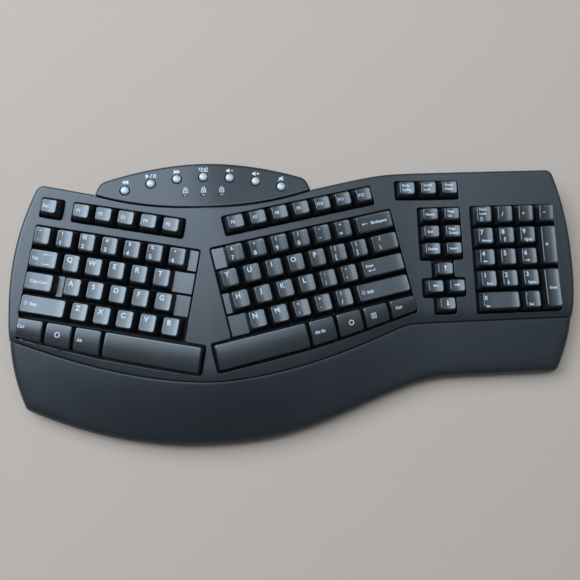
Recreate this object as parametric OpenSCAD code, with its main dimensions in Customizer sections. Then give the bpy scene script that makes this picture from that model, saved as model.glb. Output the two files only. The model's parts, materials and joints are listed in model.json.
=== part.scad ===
// Ergonomic split keyboard: two tented and splayed key blocks and a number pad in a curved case,
// with a palm rest, a rear hood of media buttons, a battery bay and two fold-out feet.
// The working frame has X = 0 on the ridge between the two halves and Y = 0 on the row datum.

/* [Case] */
// Distance from the ridge to the left side
left_reach = 166.5; // [164:0.5:180]
// Distance from the ridge to the right side
right_reach = 324; // [322:0.5:340]
// Distance from the row datum to the front of the palm rest
front_reach = 176.5; // [172:0.5:190]
// Distance from the row datum to the back of the hood
rear_reach = 60.5; // [59:0.5:70]
// Wall of the moulded shells
wall = 2.2; // [1.8:0.1:2.6]
// Rounding of the upper edges
edge_round = 5; // [3.5:0.5:6]
// Rounding of the corners in plan
corner_round = 7; // [5:0.5:9]
// Height of the parting line above the table
parting_h = 7; // [6:0.5:8]
// Height that the base wall rises inside the shells
lap_h = 3; // [2:0.5:4]
// Gap between the base and the shells around it
lap_gap = 0.3; // [0.2:0.05:0.5]
// Thickness of the base floor
floor_t = 1.6; // [1.2:0.1:1.6]
// Thickness of the rubber pads under the base
pad_t = 1.8; // [1.2:0.1:1.8]
// Groove between the deck and the palm rest
seam_gap = 0.6; // [0.4:0.1:1.2]
// Height of the palm rest's nose at the front
nose_h = 14.5; // [13:0.5:17]

/* [Split] */
// Turn of each half away from straight, in degrees
splay = 11.8; // [10:0.2:13]
// Sideways slope of each half, in degrees
tent = 7; // [6:0.25:7]
// Rise of the deck towards the back, in degrees
pitch = 4; // [3:0.25:4.5]
// Height of the key tops on the ridge
ridge_h = 52; // [51.5:0.5:58]
// Drop from the ridge to the number pad
pad_fall = 21; // [18:0.5:21]
// Height of the key tops above the deck
deck_drop = 8.5; // [7.5:0.25:9.5]
// Softness of the ridge
crest = 8; // [4:0.5:14]

/* [Keys] */
// Key spacing
key_pitch = 19.05; // [18.5:0.05:19.2]
// Gap between neighbouring key skirts
key_gap = 1; // [0.8:0.1:1.6]
// Height of a keycap
cap_h = 11; // [10:0.25:11]
// Key travel
travel = 3.2; // [2.5:0.1:3.2]
// Width of a key stem
stem_w = 5.6; // [4.5:0.1:6]
// Clearance round a stem in its guide
stem_gap = 0.2; // [0.12:0.02:0.3]
// Thickness of the guide frames
frame_t = 2.6; // [2.2:0.1:2.6]
// Clearance between a pressed cap and the frame
press_gap = 0.3; // [0.2:0.05:0.5]
// Thickness of the rubber dome sheet
sheet_t = 0.6; // [0.4:0.1:0.6]
// Thickness of the backing plate
plate_t = 1; // [0.8:0.1:1]
// Wall of a rubber dome
dome_wall = 1; // [0.7:0.1:1.2]

/* [Hood] */
// Half length of the hood
hood_half = 91; // [88:0.5:94]
// Radius of the hood's back edge
hood_radius = 250; // [240:1:270]
// Depth of the hood's front edge below the deck
hood_step = 2.2; // [1:0.1:3]
// Slope of the hood towards the back, in degrees
hood_slope = 8; // [5:0.5:10]
// Dark gap between the deck and the hood
shadow_gap = 1.3; // [1.2:0.1:2.2]
// Diameter of a media button
button_d = 7.3; // [6:0.1:7.6]
// Clearance round a media button
button_gap = 0.5; // [0.35:0.05:0.7]
// Height of a media button above the hood
button_rise = 1.4; // [1:0.1:2]
// Travel of a media button
button_travel = 1; // [0.5:0.1:1.2]
// Distance from the hood's back edge to the button arc
button_inset = 13.3; // [12:0.1:17]
// Angle between media buttons, in degrees
button_step = 5.4; // [5:0.1:5.6]
// Thickness of the circuit boards
board_t = 1.6; // [1:0.1:2]
// Height of the button board above the table
board_h = 25; // [23:0.5:27]
// Height of a push switch on the board
switch_h = 3.5; // [2.5:0.1:4.3]
// Width of a status lens
lens_w = 3; // [2:0.1:4]

/* [Battery bay] */
// Diameter of a cell
cell_d = 14.5; // [14:0.1:14.5]
// Length of a cell
cell_l = 50.5; // [49:0.5:50.5]
// Clearance round the cells
cell_gap = 0.5; // [0.3:0.1:0.8]
// Thickness of the contact plates
contact_t = 0.5; // [0.3:0.1:0.8]
// Thickness of the battery door
door_t = 1.4; // [1.2:0.1:1.8]
// Width of the tongue on each side of the door
tongue_w = 1.6; // [1.2:0.1:2]
// Clearance round the door
door_gap = 0.25; // [0.2:0.05:0.4]
// Width of the power slider's knob
slider_w = 5; // [4:0.5:6]
// Travel of the power slider
slider_travel = 3; // [2:0.5:4]

/* [Feet and screws] */
// Width of a fold-out foot
foot_w = 30; // [24:1:34]
// Length of a fold-out foot from its pivot
foot_l = 21; // [18:0.5:22]
// Thickness of a fold-out foot
foot_t = 3.6; // [3:0.1:3.6]
// Radius of a foot's pivot pin
pin_r = 1.2; // [1:0.05:1.3]
// Length of a foot's pivot pin
pin_l = 3; // [2:0.25:4]
// Radial clearance of the pivot pin
pin_gap = 0.06; // [0.03:0.01:0.09]
// Clearance round a fold-out foot
foot_gap = 0.5; // [0.4:0.05:0.8]
// Radius of a case screw's shank
screw_r = 1.25; // [1:0.05:1.4]
// Radius of a case screw's head
head_r = 2.3; // [2:0.1:2.5]
// Height of a case screw's head
head_h = 1.8; // [1.4:0.1:2]
// Depth of a screw tip above the parting line's lap
screw_bite = 2.6; // [2:0.1:3]
// Wall round a screw
boss_wall = 1.6; // [1.2:0.1:2]

/* [Hidden] */

charcoal = [0.07, 0.072, 0.08];
key_black = [0.055, 0.056, 0.062];
inner_black = [0.03, 0.03, 0.032];
silver = [0.75, 0.76, 0.78];
steel = [0.6, 0.6, 0.62];
rubber_grey = [0.12, 0.12, 0.12];
board_green = [0.05, 0.2, 0.1];
lens_clear = [0.8, 0.85, 0.8];

// Shift from the working frame to the middle of the case's outline
shift = [(left_reach - right_reach) / 2, (front_reach - rear_reach) / 2, 0];
eps = 0.05;
tall = 80;

// Side curves: widest point, and the inset and run of each curve away from it
left_wide_y = -65;
left_rear = [22.8, 105.5];
left_front = [14.3, 75.2];
right_wide_y = -36;
right_rear = [10.3, 80];
right_front = [22.3, 92.4];
side_power = 2.3;
// Front edge: the belly under the palms, its rise to the left corner and to the straight right part
belly_x = -3;
belly_left = [35.5, 147];
belly_right = [47.2, 208];
belly_skew = 1.3;
// Rear edge: the deck beside the hood and the straight part behind the number pad
rear_side_y = 34.5;
rear_slope = 13.8;
rear_flat = 51.2;
rear_blend = 5;
// The deck's arc in front of the hood
arc_y = 18.6;
arc_radius = 280;
// Palm seam: depth at the ridge, rise to the sides and the straight part before the number pad
seam_x = 3;
seam_front = 125.6;
seam_rise = 43;
seam_run = 166;
seam_power = 1.7;
seam_flat = -82.5;
seam_blend = 3;
nose_round = 6;
// Turn of the palm rest's back from its nose to the seam, in degrees
palm_bend = 68;
lip_round = 1;
pad_blend = 2.5;
hood_x = -1.5;
hood_crest = 25;
// Least height of the palm rest's walls above the parting line
palm_least = 1;
// Cut across the corners of the base
corner_cut = 4.2;
// Points along each stretch of the outline, and rounds that find its corners
side_points = 12;
rear_points = 4;
hood_points = 16;
long_points = 40;
settle_rounds = 8;
// Grid cells along and across each shell: outside, inside and the cap over its posts
deck_cells = [[30, 8], [24, 5], [20, 4]];
palm_cells = [[28, 7], [24, 5], [20, 4]];
hood_cells = [[16, 5], [12, 4], [10, 3]];

// Heights along a key's axis, below the key tops
frame_top = -(cap_h + travel + press_gap);
frame_low = frame_top - frame_t;
stem_low = frame_top - frame_t / 2;
sheet_top = stem_low - travel - press_gap;
sheet_low = sheet_top - sheet_t;
stack_low = sheet_low - plate_t;

lap_top = parting_h + lap_h + lap_gap;
// Depth of the rebate in the shell walls beside the base wall
lap_cut = 0.2;
floor_top = pad_t + floor_t;
base_inset = wall + lap_gap;
hood_cy = rear_reach - hood_radius;
button_radius = hood_radius - button_inset;
button_count = 7;

function clamp(v) = min(1, max(0, v));
function soft_min(a, b, k) = (a + b - sqrt(pow(a - b, 2) + k * k)) / 2;
function soft_abs(v, k) = sqrt(v * v + k * k) - k;
function ease(v) = v * v * (3 - 2 * v);
function bulge(curve, d) = curve[0] * pow(d / curve[1], side_power);
function round_off(d, r) = d >= r ? 0 : r - sqrt(max(0, r * r - pow(r - max(0, d), 2)));

// Fall of the key plane from the ridge, and the deck's height
function fall(x, soft) = x < 0 ? tan(tent) * soft_abs(x, soft)
    : soft_min(tan(tent) * soft_abs(x, soft), pad_fall, pad_blend);
function deck_z(x, y, soft = crest) =
    ridge_h + y * tan(pitch) - (fall(x, soft) + deck_drop) / cos(pitch);

// Outline of the case, one function for each edge
function left_edge(y) = -left_reach
    + (y > left_wide_y ? bulge(left_rear, y - left_wide_y) : bulge(left_front, left_wide_y - y));
function right_edge(y) = right_reach
    - (y > right_wide_y ? bulge(right_rear, y - right_wide_y) : bulge(right_front, right_wide_y - y));
function front_edge(x) = -front_reach + (x < belly_x
    ? belly_left[0] * pow((belly_x - x) / belly_left[1], 2)
    : belly_right[0] * ease(pow(clamp((x - belly_x) / belly_right[1]), belly_skew)));
function seam(x) = soft_min(-seam_front + seam_rise * pow(abs(x - seam_x) / seam_run, seam_power),
    seam_flat, seam_blend);
function deck_arc(x) = arc_y + arc_radius - sqrt(pow(arc_radius, 2) - pow(x - hood_x, 2));
function deck_rear(x) = let (d = abs(x - hood_x) - hood_half)
    d <= 0 ? deck_arc(x)
    : x < hood_x ? rear_side_y + d * tan(rear_slope)
    : soft_min(rear_side_y + d * tan(rear_slope), rear_flat, rear_blend);
function hood_arc(x) = hood_cy + sqrt(pow(hood_radius, 2) - pow(x - hood_x, 2));

// Upper surfaces, m below the outside
function deck_top(x, y, m) = let (r = edge_round - m)
    deck_z(x, y) - m - round_off(x - left_edge(y) - m, r) - round_off(right_edge(y) - x - m, r)
    - round_off(deck_rear(x) - y - m, r) - round_off(y - seam(x) - m, lip_round);
function palm_top(x, y, m) =
    let (t = clamp((y - front_edge(x)) / (seam(x) - front_edge(x))), r = edge_round - m)
    max(parting_h + palm_least, nose_h + (deck_z(x, seam(x)) - nose_h) * sin(palm_bend * t) / sin(palm_bend) - m
    - round_off(x - left_edge(y) - m, r) - round_off(right_edge(y) - x - m, r)
    - round_off(y - front_edge(x) - m, nose_round - m) - round_off(seam(x) - y - m, lip_round));
function hood_z(x, y) = deck_z(x, deck_arc(x), hood_crest) - hood_step
    - (y - deck_arc(x)) * tan(hood_slope);
function hood_top(x, y, m) = let (r = edge_round - m)
    hood_z(x, y) - m - round_off(hood_arc(x) - y - m, r)
    - round_off(hood_half - abs(x - hood_x) - m, r)
    - round_off(y - deck_arc(x) - shadow_gap - m, lip_round);

// A closed block between a height field and a flat bottom, over a grid of plan points
module field(grid, top, bottom) {
    ns = len(grid);
    nt = len(grid[0]);
    low = ns * nt;
    points = concat([for (c = grid, p = c) [p[0], p[1], top(p[0], p[1])]],
        [for (c = grid, p = c) [p[0], p[1], bottom]]);
    function at(i, j) = i * nt + j;
    tops = [for (i = [0:ns - 2], j = [0:nt - 2]) each
        [[at(i, j), at(i, j + 1), at(i + 1, j + 1)], [at(i, j), at(i + 1, j + 1), at(i + 1, j)]]];
    lows = [for (f = tops) [low + f[2], low + f[1], low + f[0]]];
    rim = concat([for (i = [0:ns - 1]) at(i, 0)], [for (j = [1:nt - 1]) at(ns - 1, j)],
        [for (i = [ns - 2:-1:0]) at(i, nt - 1)], [for (j = [nt - 2:-1:1]) at(0, j)]);
    n = len(rim);
    sides = [for (k = [0:n - 1]) let (a = rim[k], b = rim[(k + 1) % n]) each
        [[a, b, low + b], [a, low + b, low + a]]];
    polyhedron(points, concat(tops, lows, sides), convexity = 8);
}

// Stations from 0 to 1, close together over a rounded edge of radius r at each end
function stations(n, r, span) = let (e = r / span)
    concat([0, 0.08 * e, 0.3 * e], [for (i = [0:n]) e + (1 - 2 * e) * i / n],
    [1 - 0.3 * e, 1 - 0.08 * e, 1]);

// Plan grid between two edge curves and the sides of the case, m inside them
function case_grid(lo, hi, m, cells, span) = let (wide = left_reach + right_reach)
    [for (s = stations(cells[0], edge_round, wide)) [for (t = stations(cells[1], edge_round, span))
        let (x0 = -left_reach + s * wide,
            y0 = lo(x0) + t * (hi(x0) - lo(x0)),
            x = left_edge(y0) + m + s * (right_edge(y0) - left_edge(y0) - 2 * m))
        [x, lo(x) + m + t * (hi(x) - lo(x) - 2 * m)]]];
function hood_grid(m, cells, span) =
    [for (s = stations(cells[0], edge_round, 2 * hood_half)) [for (t = stations(cells[1], edge_round, span))
        let (x = hood_x - hood_half + m + s * 2 * (hood_half - m), lo = deck_arc(x) + shadow_gap)
        [x, lo + m + t * (hood_arc(x) - lo - 2 * m)]]];

deck_low = function(x) seam(x) + seam_gap / 2;
deck_high = function(x) deck_rear(x);
palm_low = function(x) front_edge(x);
palm_high = function(x) seam(x) - seam_gap / 2;

// The corner where two edge curves meet, found by going from one to the other
function settle(f, g, v, n = settle_rounds) = n == 0 ? v : settle(f, g, f(g(v)), n - 1);
function steps(a, b, n) = [for (i = [0:n]) a + (b - a) * i / n];

// Outline of the case m inside its edges, with or without the hood
function outline(m, with_hood) =
    let (lf = function(y) left_edge(y) + m, rt = function(y) right_edge(y) - m,
        fr = function(x) front_edge(x) + m, re = function(x) deck_rear(x) - m,
        y_fl = settle(fr, lf, seam_flat), y_rl = settle(re, lf, 0),
        y_fr = settle(fr, rt, seam_flat), y_rr = settle(re, rt, 0),
        hood_end = hood_half - m - corner_round, c = with_hood ? corner_cut : 0)
    concat([for (y = steps(y_fl + c, y_rl - c, side_points)) [lf(y), y]],
        with_hood ? [for (x = steps(lf(y_rl) + c, hood_x - hood_half, rear_points)) [x, re(x)]] : [],
        with_hood ? [for (x = steps(hood_x - hood_end, hood_x + hood_end, hood_points))
            [x, hood_arc(x) - m]] : [],
        [for (x = steps(with_hood ? hood_x + hood_half : lf(y_rl), rt(y_rr) - c,
            with_hood ? hood_points : long_points)) [x, re(x)]],
        [for (y = steps(y_rr - c, y_fr + c, side_points)) [rt(y), y]],
        [for (x = steps(rt(y_fr) - c, lf(y_fl) + c, long_points)) [x, fr(x)]]);

// Plan of the hood with its front left open to the deck, half its length given
function hood_plan(half) = concat([[hood_x - half, 0]],
    [for (x = steps(hood_x - half, hood_x + half, side_points * 2)) [x, hood_arc(x) + half - hood_half]],
    [[hood_x + half, 0]]);

module round_corners() {
    offset(r = corner_round, $fn = 40) offset(delta = -corner_round) children();
}

module rounded_plan(m) {
    translate([0, 0, -eps]) linear_extrude(tall) round_corners() polygon(outline(m, false));
}

// Seats of the three key blocks: the first number key of each half and the first pad key
left_key_x = 135.3;
left_key_y = -1.1;
right_key_x = 23.7;
right_key_y = -22.7;
pad_key_x = 242.6;
pad_key_y = 7.3;
function seat(x, y, drop) = [x, y * cos(pitch) + drop * sin(pitch),
    ridge_h + y * sin(pitch) - drop * cos(pitch)];
module on_left() {
    translate(seat(-left_key_x, left_key_y, tan(tent) * left_key_x))
        rotate([pitch, 0, 0]) rotate([0, -tent, 0]) rotate([0, 0, -splay]) children();
}
module on_right() {
    translate(seat(right_key_x, right_key_y, tan(tent) * right_key_x))
        rotate([pitch, 0, 0]) rotate([0, tent, 0]) rotate([0, 0, splay]) children();
}
module on_pad() {
    translate(seat(pad_key_x, pad_key_y, pad_fall)) rotate([pitch, 0, 0]) children();
}
module framed() {
    translate(shift) children();
}

// Key lists in key pitches: across, along, width, depth, low step to the left and to the right
function run(u, n, v, d = 1) = [for (i = [0:n - 1]) [u + i, v, 1, d, 0, 0]];
function one(u, v, w, d = 1, l = 0, r = 0) = [[u, v, w, d, l, r]];
low_row = -3.56;
function low_key(u0, u1, d) = one((u0 + u1) / 2, low_row - d / 2, u1 - u0, d);
f_row = 1.33;
f_deep = 0.84;
nav_deep = 0.8;
left_inner = 6.85;
right_inner = -0.99;
escape_k = one(0.03, f_row, 0.98, f_deep);
function_left_k = run(1.48, 5, f_row, f_deep);
number_left_k = concat(run(0, 6, 0), one(6, 0, 1, 1, 0, left_inner - 6.5));
tab_k = one(0.25, -1, 1.5);
upper_left_k = concat(run(1.5, 4, -1), one(5.5, -1, 1, 1, 0, left_inner - 6));
caps_k = one(0.25, -2, 1.5, 1, 0, 0.25);
home_left_k = concat(run(1.75, 4, -2), one(5.75, -2, 1, 1, 0, left_inner - 6.25));
shift_left_k = one(0.625, -3, 2.25);
lower_left_k = run(2.25, 5, -3);
control_left_k = low_key(-0.42, 0.88, 0.95);
mark_left_k = low_key(0.88, 2.16, 1.07);
alt_left_k = low_key(2.16, 3.46, 1.13);
space_left_k = low_key(3.46, 7.8, 1.21);
function_right_k = run(0.34, 7, f_row, f_deep);
number_right_k = concat(one(0, 0, 1, 1, -0.5 - right_inner, 0), run(1, 5, 0));
backspace_k = one(6.5, 0, 2);
upper_right_k = concat(run(-0.5, 7, -1), one(6.75, -1, 1.5));
home_right_k = concat(one(-0.25, -2, 1, 1, -0.75 - right_inner, 0), run(0.75, 5, -2));
enter_k = one(6.375, -2, 2.25);
lower_right_k = concat(one(0.25, -3, 1, 1, -0.25 - right_inner, 0), run(1.25, 4, -3));
shift_right_k = one(6.125, -3, 2.75);
space_right_k = low_key(-1.9, 2.3, 1.21);
alt_right_k = low_key(2.3, 3.58, 1.19);
mark_right_k = low_key(3.58, 4.86, 1.09);
menu_k = low_key(4.86, 6.14, 0.97);
control_right_k = low_key(6.14, 7.5, 0.83);
system_k = run(-3.53, 3, f_row, f_deep);
navigation_k = [for (v = [0.08, -0.73, -1.53]) each run(-2.52, 2, v, nav_deep)];
arrow_k = concat(one(-2, -2.45, 1, nav_deep), run(-2.5, 2, -3.25, nav_deep),
    one(-2, -4.06, 1, nav_deep));
pad_k = concat(run(0, 4, 0), run(0, 3, -1), run(0, 3, -2), run(0, 3, -3), one(2, -4, 1));
pad_plus_k = one(3, -1.5, 1, 2);
pad_enter_k = one(3, -3.5, 1, 2);
pad_zero_k = one(0.5, -4, 2);
left_k = concat(escape_k, function_left_k, number_left_k, tab_k, upper_left_k, caps_k, home_left_k,
    shift_left_k, lower_left_k, control_left_k, mark_left_k, alt_left_k, space_left_k);
right_k = concat(function_right_k, number_right_k, backspace_k, upper_right_k, home_right_k, enter_k,
    lower_right_k, shift_right_k, space_right_k, alt_right_k, mark_right_k, menu_k, control_right_k);
pad_all_k = concat(system_k, navigation_k, arrow_k, pad_k, pad_plus_k, pad_enter_k, pad_zero_k);

// Deck openings in key pitches: from and to across, from and to along
f_open = [0.88, 1.78];
left_open = [[-0.5, 0.56, f_open[0], f_open[1]], [0.95, 6.01, f_open[0], f_open[1]],
    [-0.54, 6.88, -3.58, 0.53], [-0.46, 0.92, -4.6, -3.5], [0.8, 3.5, -4.78, -3.5],
    [3.4, 7.84, -4.86, -3.5]];
right_open = [[-0.19, 6.87, f_open[0], f_open[1]], [-1.02, 7.54, -3.58, 0.53],
    [-1.94, 3.62, -4.86, -3.5], [3.5, 4.9, -4.75, -3.5], [4.8, 6.18, -4.62, -3.5],
    [6.1, 7.54, -4.48, -3.5]];
pad_open = [[-4.06, -1, f_open[0], f_open[1]], [-3.05, -0.99, -1.97, 0.52], [-2.53, -1.47, -2.96, -1.9],
    [-3.03, -0.97, -3.7, -2.8], [-2.53, -1.47, -4.5, -3.6], [-0.53, 3.53, -4.53, 0.53]];
// Webs that join the parts of a guide frame between the openings
left_web = [[0, 6, 0.4, 1]];
right_web = [[0, 6.5, 0.4, 1]];
pad_web = [[-3, -1.1, 0.4, 1], [-1.1, -0.4, -4, 0.4]];
left_stack = concat(left_open, left_web);
right_stack = concat(right_open, right_web);
pad_stack = concat(pad_open, pad_web);
open_round = 1.6;

module opening(o) {
    r = open_round;
    hull()
        for (u = [o[0] * key_pitch + r, o[1] * key_pitch - r], v = [o[2] * key_pitch + r, o[3] * key_pitch - r])
            translate([u, v, frame_top]) cylinder(r = r, h = tall, $fn = 12);
}
module stack_plan(parts) {
    for (o = parts) translate([o[0], o[2]] * key_pitch) square([o[1] - o[0], o[3] - o[2]] * key_pitch);
}
// Stem places of a key: one, or three under a space bar
long_key = 4;
long_stem = 1.4;
function stems(k) = [for (i = k[2] > long_key ? [-1:1] : [0]) [k[0] + i * long_stem, k[1]] * key_pitch];

skirt_t = 0.6;
skirt_corner = 1;
top_corner = 2.2;
top_in = [5.2, 4.2];
top_back = 1.3;
slab_in = 2.4;
slab_fall = 2.6;
step_top = 7.7;
module chamfered(w, d, c) {
    polygon([[-w / 2 + c, -d / 2], [w / 2 - c, -d / 2], [w / 2, -d / 2 + c], [w / 2, d / 2 - c],
        [w / 2 - c, d / 2], [-w / 2 + c, d / 2], [-w / 2, d / 2 - c], [-w / 2, -d / 2 + c]]);
}
module stem(p) {
    translate([p[0] - stem_w / 2, p[1] - stem_w / 2, stem_low])
        cube([stem_w, stem_w, -stem_low - cap_h / 2]);
}
// A dished cap on its stem, with the low step that fills the gap to the middle of the board
module cap_key(k) {
    w = k[2] * key_pitch - key_gap;
    d = k[3] * key_pitch - key_gap;
    translate([k[0] * key_pitch, k[1] * key_pitch, 0]) {
        hull() {
            translate([0, 0, -cap_h]) linear_extrude(skirt_t) chamfered(w, d, skirt_corner);
            translate([0, top_back, -skirt_t]) linear_extrude(skirt_t)
                chamfered(w - top_in[0], d - top_in[1], top_corner);
        }
        for (side = [-1, 1]) {
            reach = k[side < 0 ? 4 : 5] * key_pitch;
            if (reach > 0)
                translate([side < 0 ? -w / 2 - reach : w / 2 - skirt_corner, -d / 2 + skirt_corner, -cap_h])
                    cube([reach + skirt_corner, d - 2 * skirt_corner, cap_h - step_top]);
        }
    }
    for (p = stems(k)) stem(p);
}
// A broad front-row key that slopes down to the palm rest
module slab_key(k) {
    w = k[2] * key_pitch - key_gap;
    d = k[3] * key_pitch - key_gap;
    translate([k[0] * key_pitch, k[1] * key_pitch, 0]) hull() {
        translate([0, 0, -cap_h]) linear_extrude(skirt_t) chamfered(w, d, skirt_corner);
        translate([0, slab_in, -skirt_t]) linear_extrude(skirt_t) chamfered(w - slab_in, d / 2, top_corner);
        translate([0, -slab_in / 2, -slab_fall]) linear_extrude(skirt_t)
            chamfered(w - slab_in / 2, d - 2 * slab_in, top_corner);
    }
    for (p = stems(k)) stem(p);
}
module caps(list) {
    color(key_black) for (k = list) cap_key(k);
}
module slabs(list) {
    color(key_black) for (k = list) slab_key(k);
}

// Screw places under the deck: four in the field, and one beside each side wall
post_in = 5.9;
left_post_y = -45;
right_post_y = -20;
field_screws = [[hood_x, -66], [hood_x, 8], [175.5, -5], [255, 42]];
deck_screws = concat(field_screws, [[left_edge(left_post_y) + post_in, left_post_y],
    [right_edge(right_post_y) - post_in, right_post_y]]);
// Screw places under the palm rest, behind its front edge: from the left side, the ridge and the right side
palm_post_in = 23;
palm_left_x = 45;
palm_mid_x = [-45, 45, 130];
palm_right_x = [107, 32];
palm_post_x = concat([palm_left_x - left_reach], palm_mid_x, [for (d = palm_right_x) right_reach - d]);
palm_screws = [for (x = palm_post_x) [x, front_edge(x) + palm_post_in]];
// Screw places at the ends of the hood
hood_post_in = 9;
hood_post_y = 39.6;
hood_screws = [for (side = [-1, 1]) [hood_x + side * (hood_half - hood_post_in), hood_post_y]];
pilot_gap = 0.15;
boss_r = screw_r + pilot_gap + boss_wall;
head_top = floor_top + head_h;
module screw_posts(places) {
    for (p = places) translate([p[0], p[1], lap_top]) cylinder(r = boss_r, h = tall, $fn = 20);
}
module pilot_holes(places) {
    for (p = places) translate([p[0], p[1], 0])
        cylinder(r = screw_r + pilot_gap, h = lap_top + screw_bite + pilot_gap, $fn = 20);
}
// Room inside every shell for the base wall and what stands in the base
module base_room() {
    translate([0, 0, -eps]) linear_extrude(lap_top + eps) polygon(outline(wall - lap_cut, true));
}

module top_case() {
    deck_span = rear_reach - seam_flat;
    color(charcoal) framed() difference() {
        intersection() {
            union() {
                difference() {
                    field(case_grid(deck_low, deck_high, 0, deck_cells[0], deck_span),
                        function(x, y) deck_top(x, y, 0), parting_h);
                    intersection() {
                        field(case_grid(deck_low, deck_high, wall, deck_cells[1], deck_span),
                            function(x, y) deck_top(x, y, wall), 0);
                        rounded_plan(wall - lap_gap);
                    }
                }
                intersection() {
                    field(case_grid(deck_low, deck_high, wall / 2, deck_cells[2], deck_span),
                        function(x, y) deck_top(x, y, wall / 2), parting_h);
                    screw_posts(deck_screws);
                }
            }
            rounded_plan(-lap_gap);
        }
        on_left() for (o = left_open) opening(o);
        on_right() for (o = right_open) opening(o);
        on_pad() for (o = pad_open) opening(o);
        base_room();
        pilot_holes(deck_screws);
    }
}

rib_t = 1.4;
rib_drop = 4;
rib_x = [-100, -75, -20, 15, 70, 100, 165, 190, 245, 268];
module palm_rest() {
    palm_span = front_reach + seam_flat;
    color(charcoal) framed() difference() {
        intersection() {
            union() {
                difference() {
                    field(case_grid(palm_low, palm_high, 0, palm_cells[0], palm_span),
                        function(x, y) palm_top(x, y, 0), parting_h);
                    intersection() {
                        field(case_grid(palm_low, palm_high, wall, palm_cells[1], palm_span),
                            function(x, y) palm_top(x, y, wall), 0);
                        rounded_plan(wall - lap_gap);
                    }
                }
                intersection() {
                    field(case_grid(palm_low, palm_high, wall / 2, palm_cells[2], palm_span),
                        function(x, y) palm_top(x, y, wall / 2), parting_h);
                    union() {
                        screw_posts(palm_screws);
                        for (x = rib_x) hull() for (y = [front_edge(x) + wall, seam(x) - wall])
                            translate([x, y, lap_top + rib_drop]) cylinder(d = rib_t, h = tall, $fn = 6);
                    }
                }
            }
            rounded_plan(-lap_gap);
        }
        base_room();
        pilot_holes(palm_screws);
    }
}

// Media button places on an arc round the middle of the hood's back edge
function button_at(i) = let (a = (i - (button_count - 1) / 2) * button_step,
        x = hood_x + button_radius * sin(a), y = hood_cy + button_radius * cos(a)) [x, y, hood_z(x, y)];
lens_step = 15.2;
lens_y = 30.5;
lens_l = 1.2;
lens_gap = 0.15;
lens_cut = 10;
function lens_at(i) = let (x = hood_x + (i - 1) * lens_step) [x, lens_y, hood_z(x, lens_y)];
button_r = button_d / 2;
button_flange = 1;
// Steps in from the rim to the shoulder and the crown of a button's dome
button_shoulder = 0.8;
button_crown = 2.2;
board_post_r = 1.8;
board_post_gap = 0.6;
board_post_x = button_radius * sin(button_step * (button_count - 1) / 2)
    + button_r + button_gap + button_flange / 2 + board_post_r + board_post_gap;
board_post_y = 38.5;
hood_rim = 0.5;
module media_hood() {
    hood_span = rear_reach - arc_y;
    color(charcoal) framed() difference() {
        intersection() {
            union() {
                difference() {
                    field(hood_grid(0, hood_cells[0], hood_span), function(x, y) hood_top(x, y, 0), parting_h);
                    field(hood_grid(wall, hood_cells[1], hood_span), function(x, y) hood_top(x, y, wall), 0);
                }
                intersection() {
                    field(hood_grid(wall / 2, hood_cells[2], hood_span),
                        function(x, y) hood_top(x, y, wall / 2), parting_h);
                    union() {
                        screw_posts(hood_screws);
                        for (side = [-1, 1])
                            translate([hood_x + side * board_post_x, board_post_y, board_h + board_t])
                                cylinder(r = board_post_r, h = tall, $fn = 16);
                    }
                }
            }
            linear_extrude(tall) round_corners() polygon(hood_plan(hood_half + lap_gap));
        }
        base_room();
        pilot_holes(hood_screws);
        for (i = [0:button_count - 1]) translate(button_at(i)) {
            translate([0, 0, -tall / 2]) cylinder(r = button_r + button_gap, h = tall, $fn = 20);
            hull() {
                translate([0, 0, -3 * hood_rim]) cylinder(r = button_r - hood_rim, h = eps, $fn = 20);
                translate([0, 0, 2 * hood_rim])
                    cylinder(r = button_r + button_gap + 3 * hood_rim, h = eps, $fn = 20);
            }
        }
        for (i = [0:2]) translate(lens_at(i)) hull() for (side = [-1, 1])
            translate([side * lens_w / 2, 0, 0])
                cylinder(d = lens_l + 2 * lens_gap, h = lens_cut, center = true, $fn = 16);
    }
}

// A domed button with a flange under the hood and a plunger down to its switch
module media_button(i) {
    p = button_at(i);
    flange_top = -wall - 2 * hood_rim;
    plunger_low = board_h + board_t + switch_h + button_travel + press_gap;
    color(silver) framed() translate([p[0], p[1], p[2]]) {
        hull() {
            translate([0, 0, flange_top]) cylinder(r = button_r, h = -flange_top + button_rise / 3, $fn = 24);
            translate([0, 0, 3 * button_rise / 4]) cylinder(r = button_r - button_shoulder, h = eps, $fn = 24);
            translate([0, 0, button_rise - eps]) cylinder(r = button_r - button_crown, h = eps, $fn = 24);
        }
        translate([0, 0, flange_top - button_flange])
            cylinder(r = button_r + button_gap + button_flange / 2, h = button_flange, $fn = 12);
        translate([-button_r / 3, -button_r / 3, plunger_low - p[2]])
            cube([2 * button_r / 3, 2 * button_r / 3, p[2] - plunger_low + flange_top]);
    }
}

board_front = 33.6;
board_back = 5;
board_tongue = 27;
module media_board() {
    half = board_post_x + board_post_r;
    tongue_half = lens_step + lens_w;
    color(board_green) framed() {
        translate([0, 0, board_h]) linear_extrude(board_t) polygon(concat(
            [for (x = steps(-half, half, hood_points))
                [hood_x + x, hood_cy + sqrt(pow(button_radius + board_back, 2) - x * x)]],
            [[hood_x + half, board_front], [hood_x + tongue_half, board_front],
            [hood_x + tongue_half, board_tongue], [hood_x - tongue_half, board_tongue],
            [hood_x - tongue_half, board_front], [hood_x - half, board_front]]));
        for (i = [0:button_count - 1]) let (p = button_at(i), w = button_r + button_gap)
            translate([p[0] - w / 2, p[1] - w / 2, board_h + board_t - eps]) cube([w, w, switch_h + eps]);
    }
}
module status_lenses() {
    color(lens_clear) framed() for (i = [0:2]) let (p = lens_at(i), low = board_h + board_t + lens_gap)
        translate([p[0] - lens_w / 2, p[1] - lens_l / 2, low]) cube([lens_w, lens_l, p[2] - low + lens_gap]);
}

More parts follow.
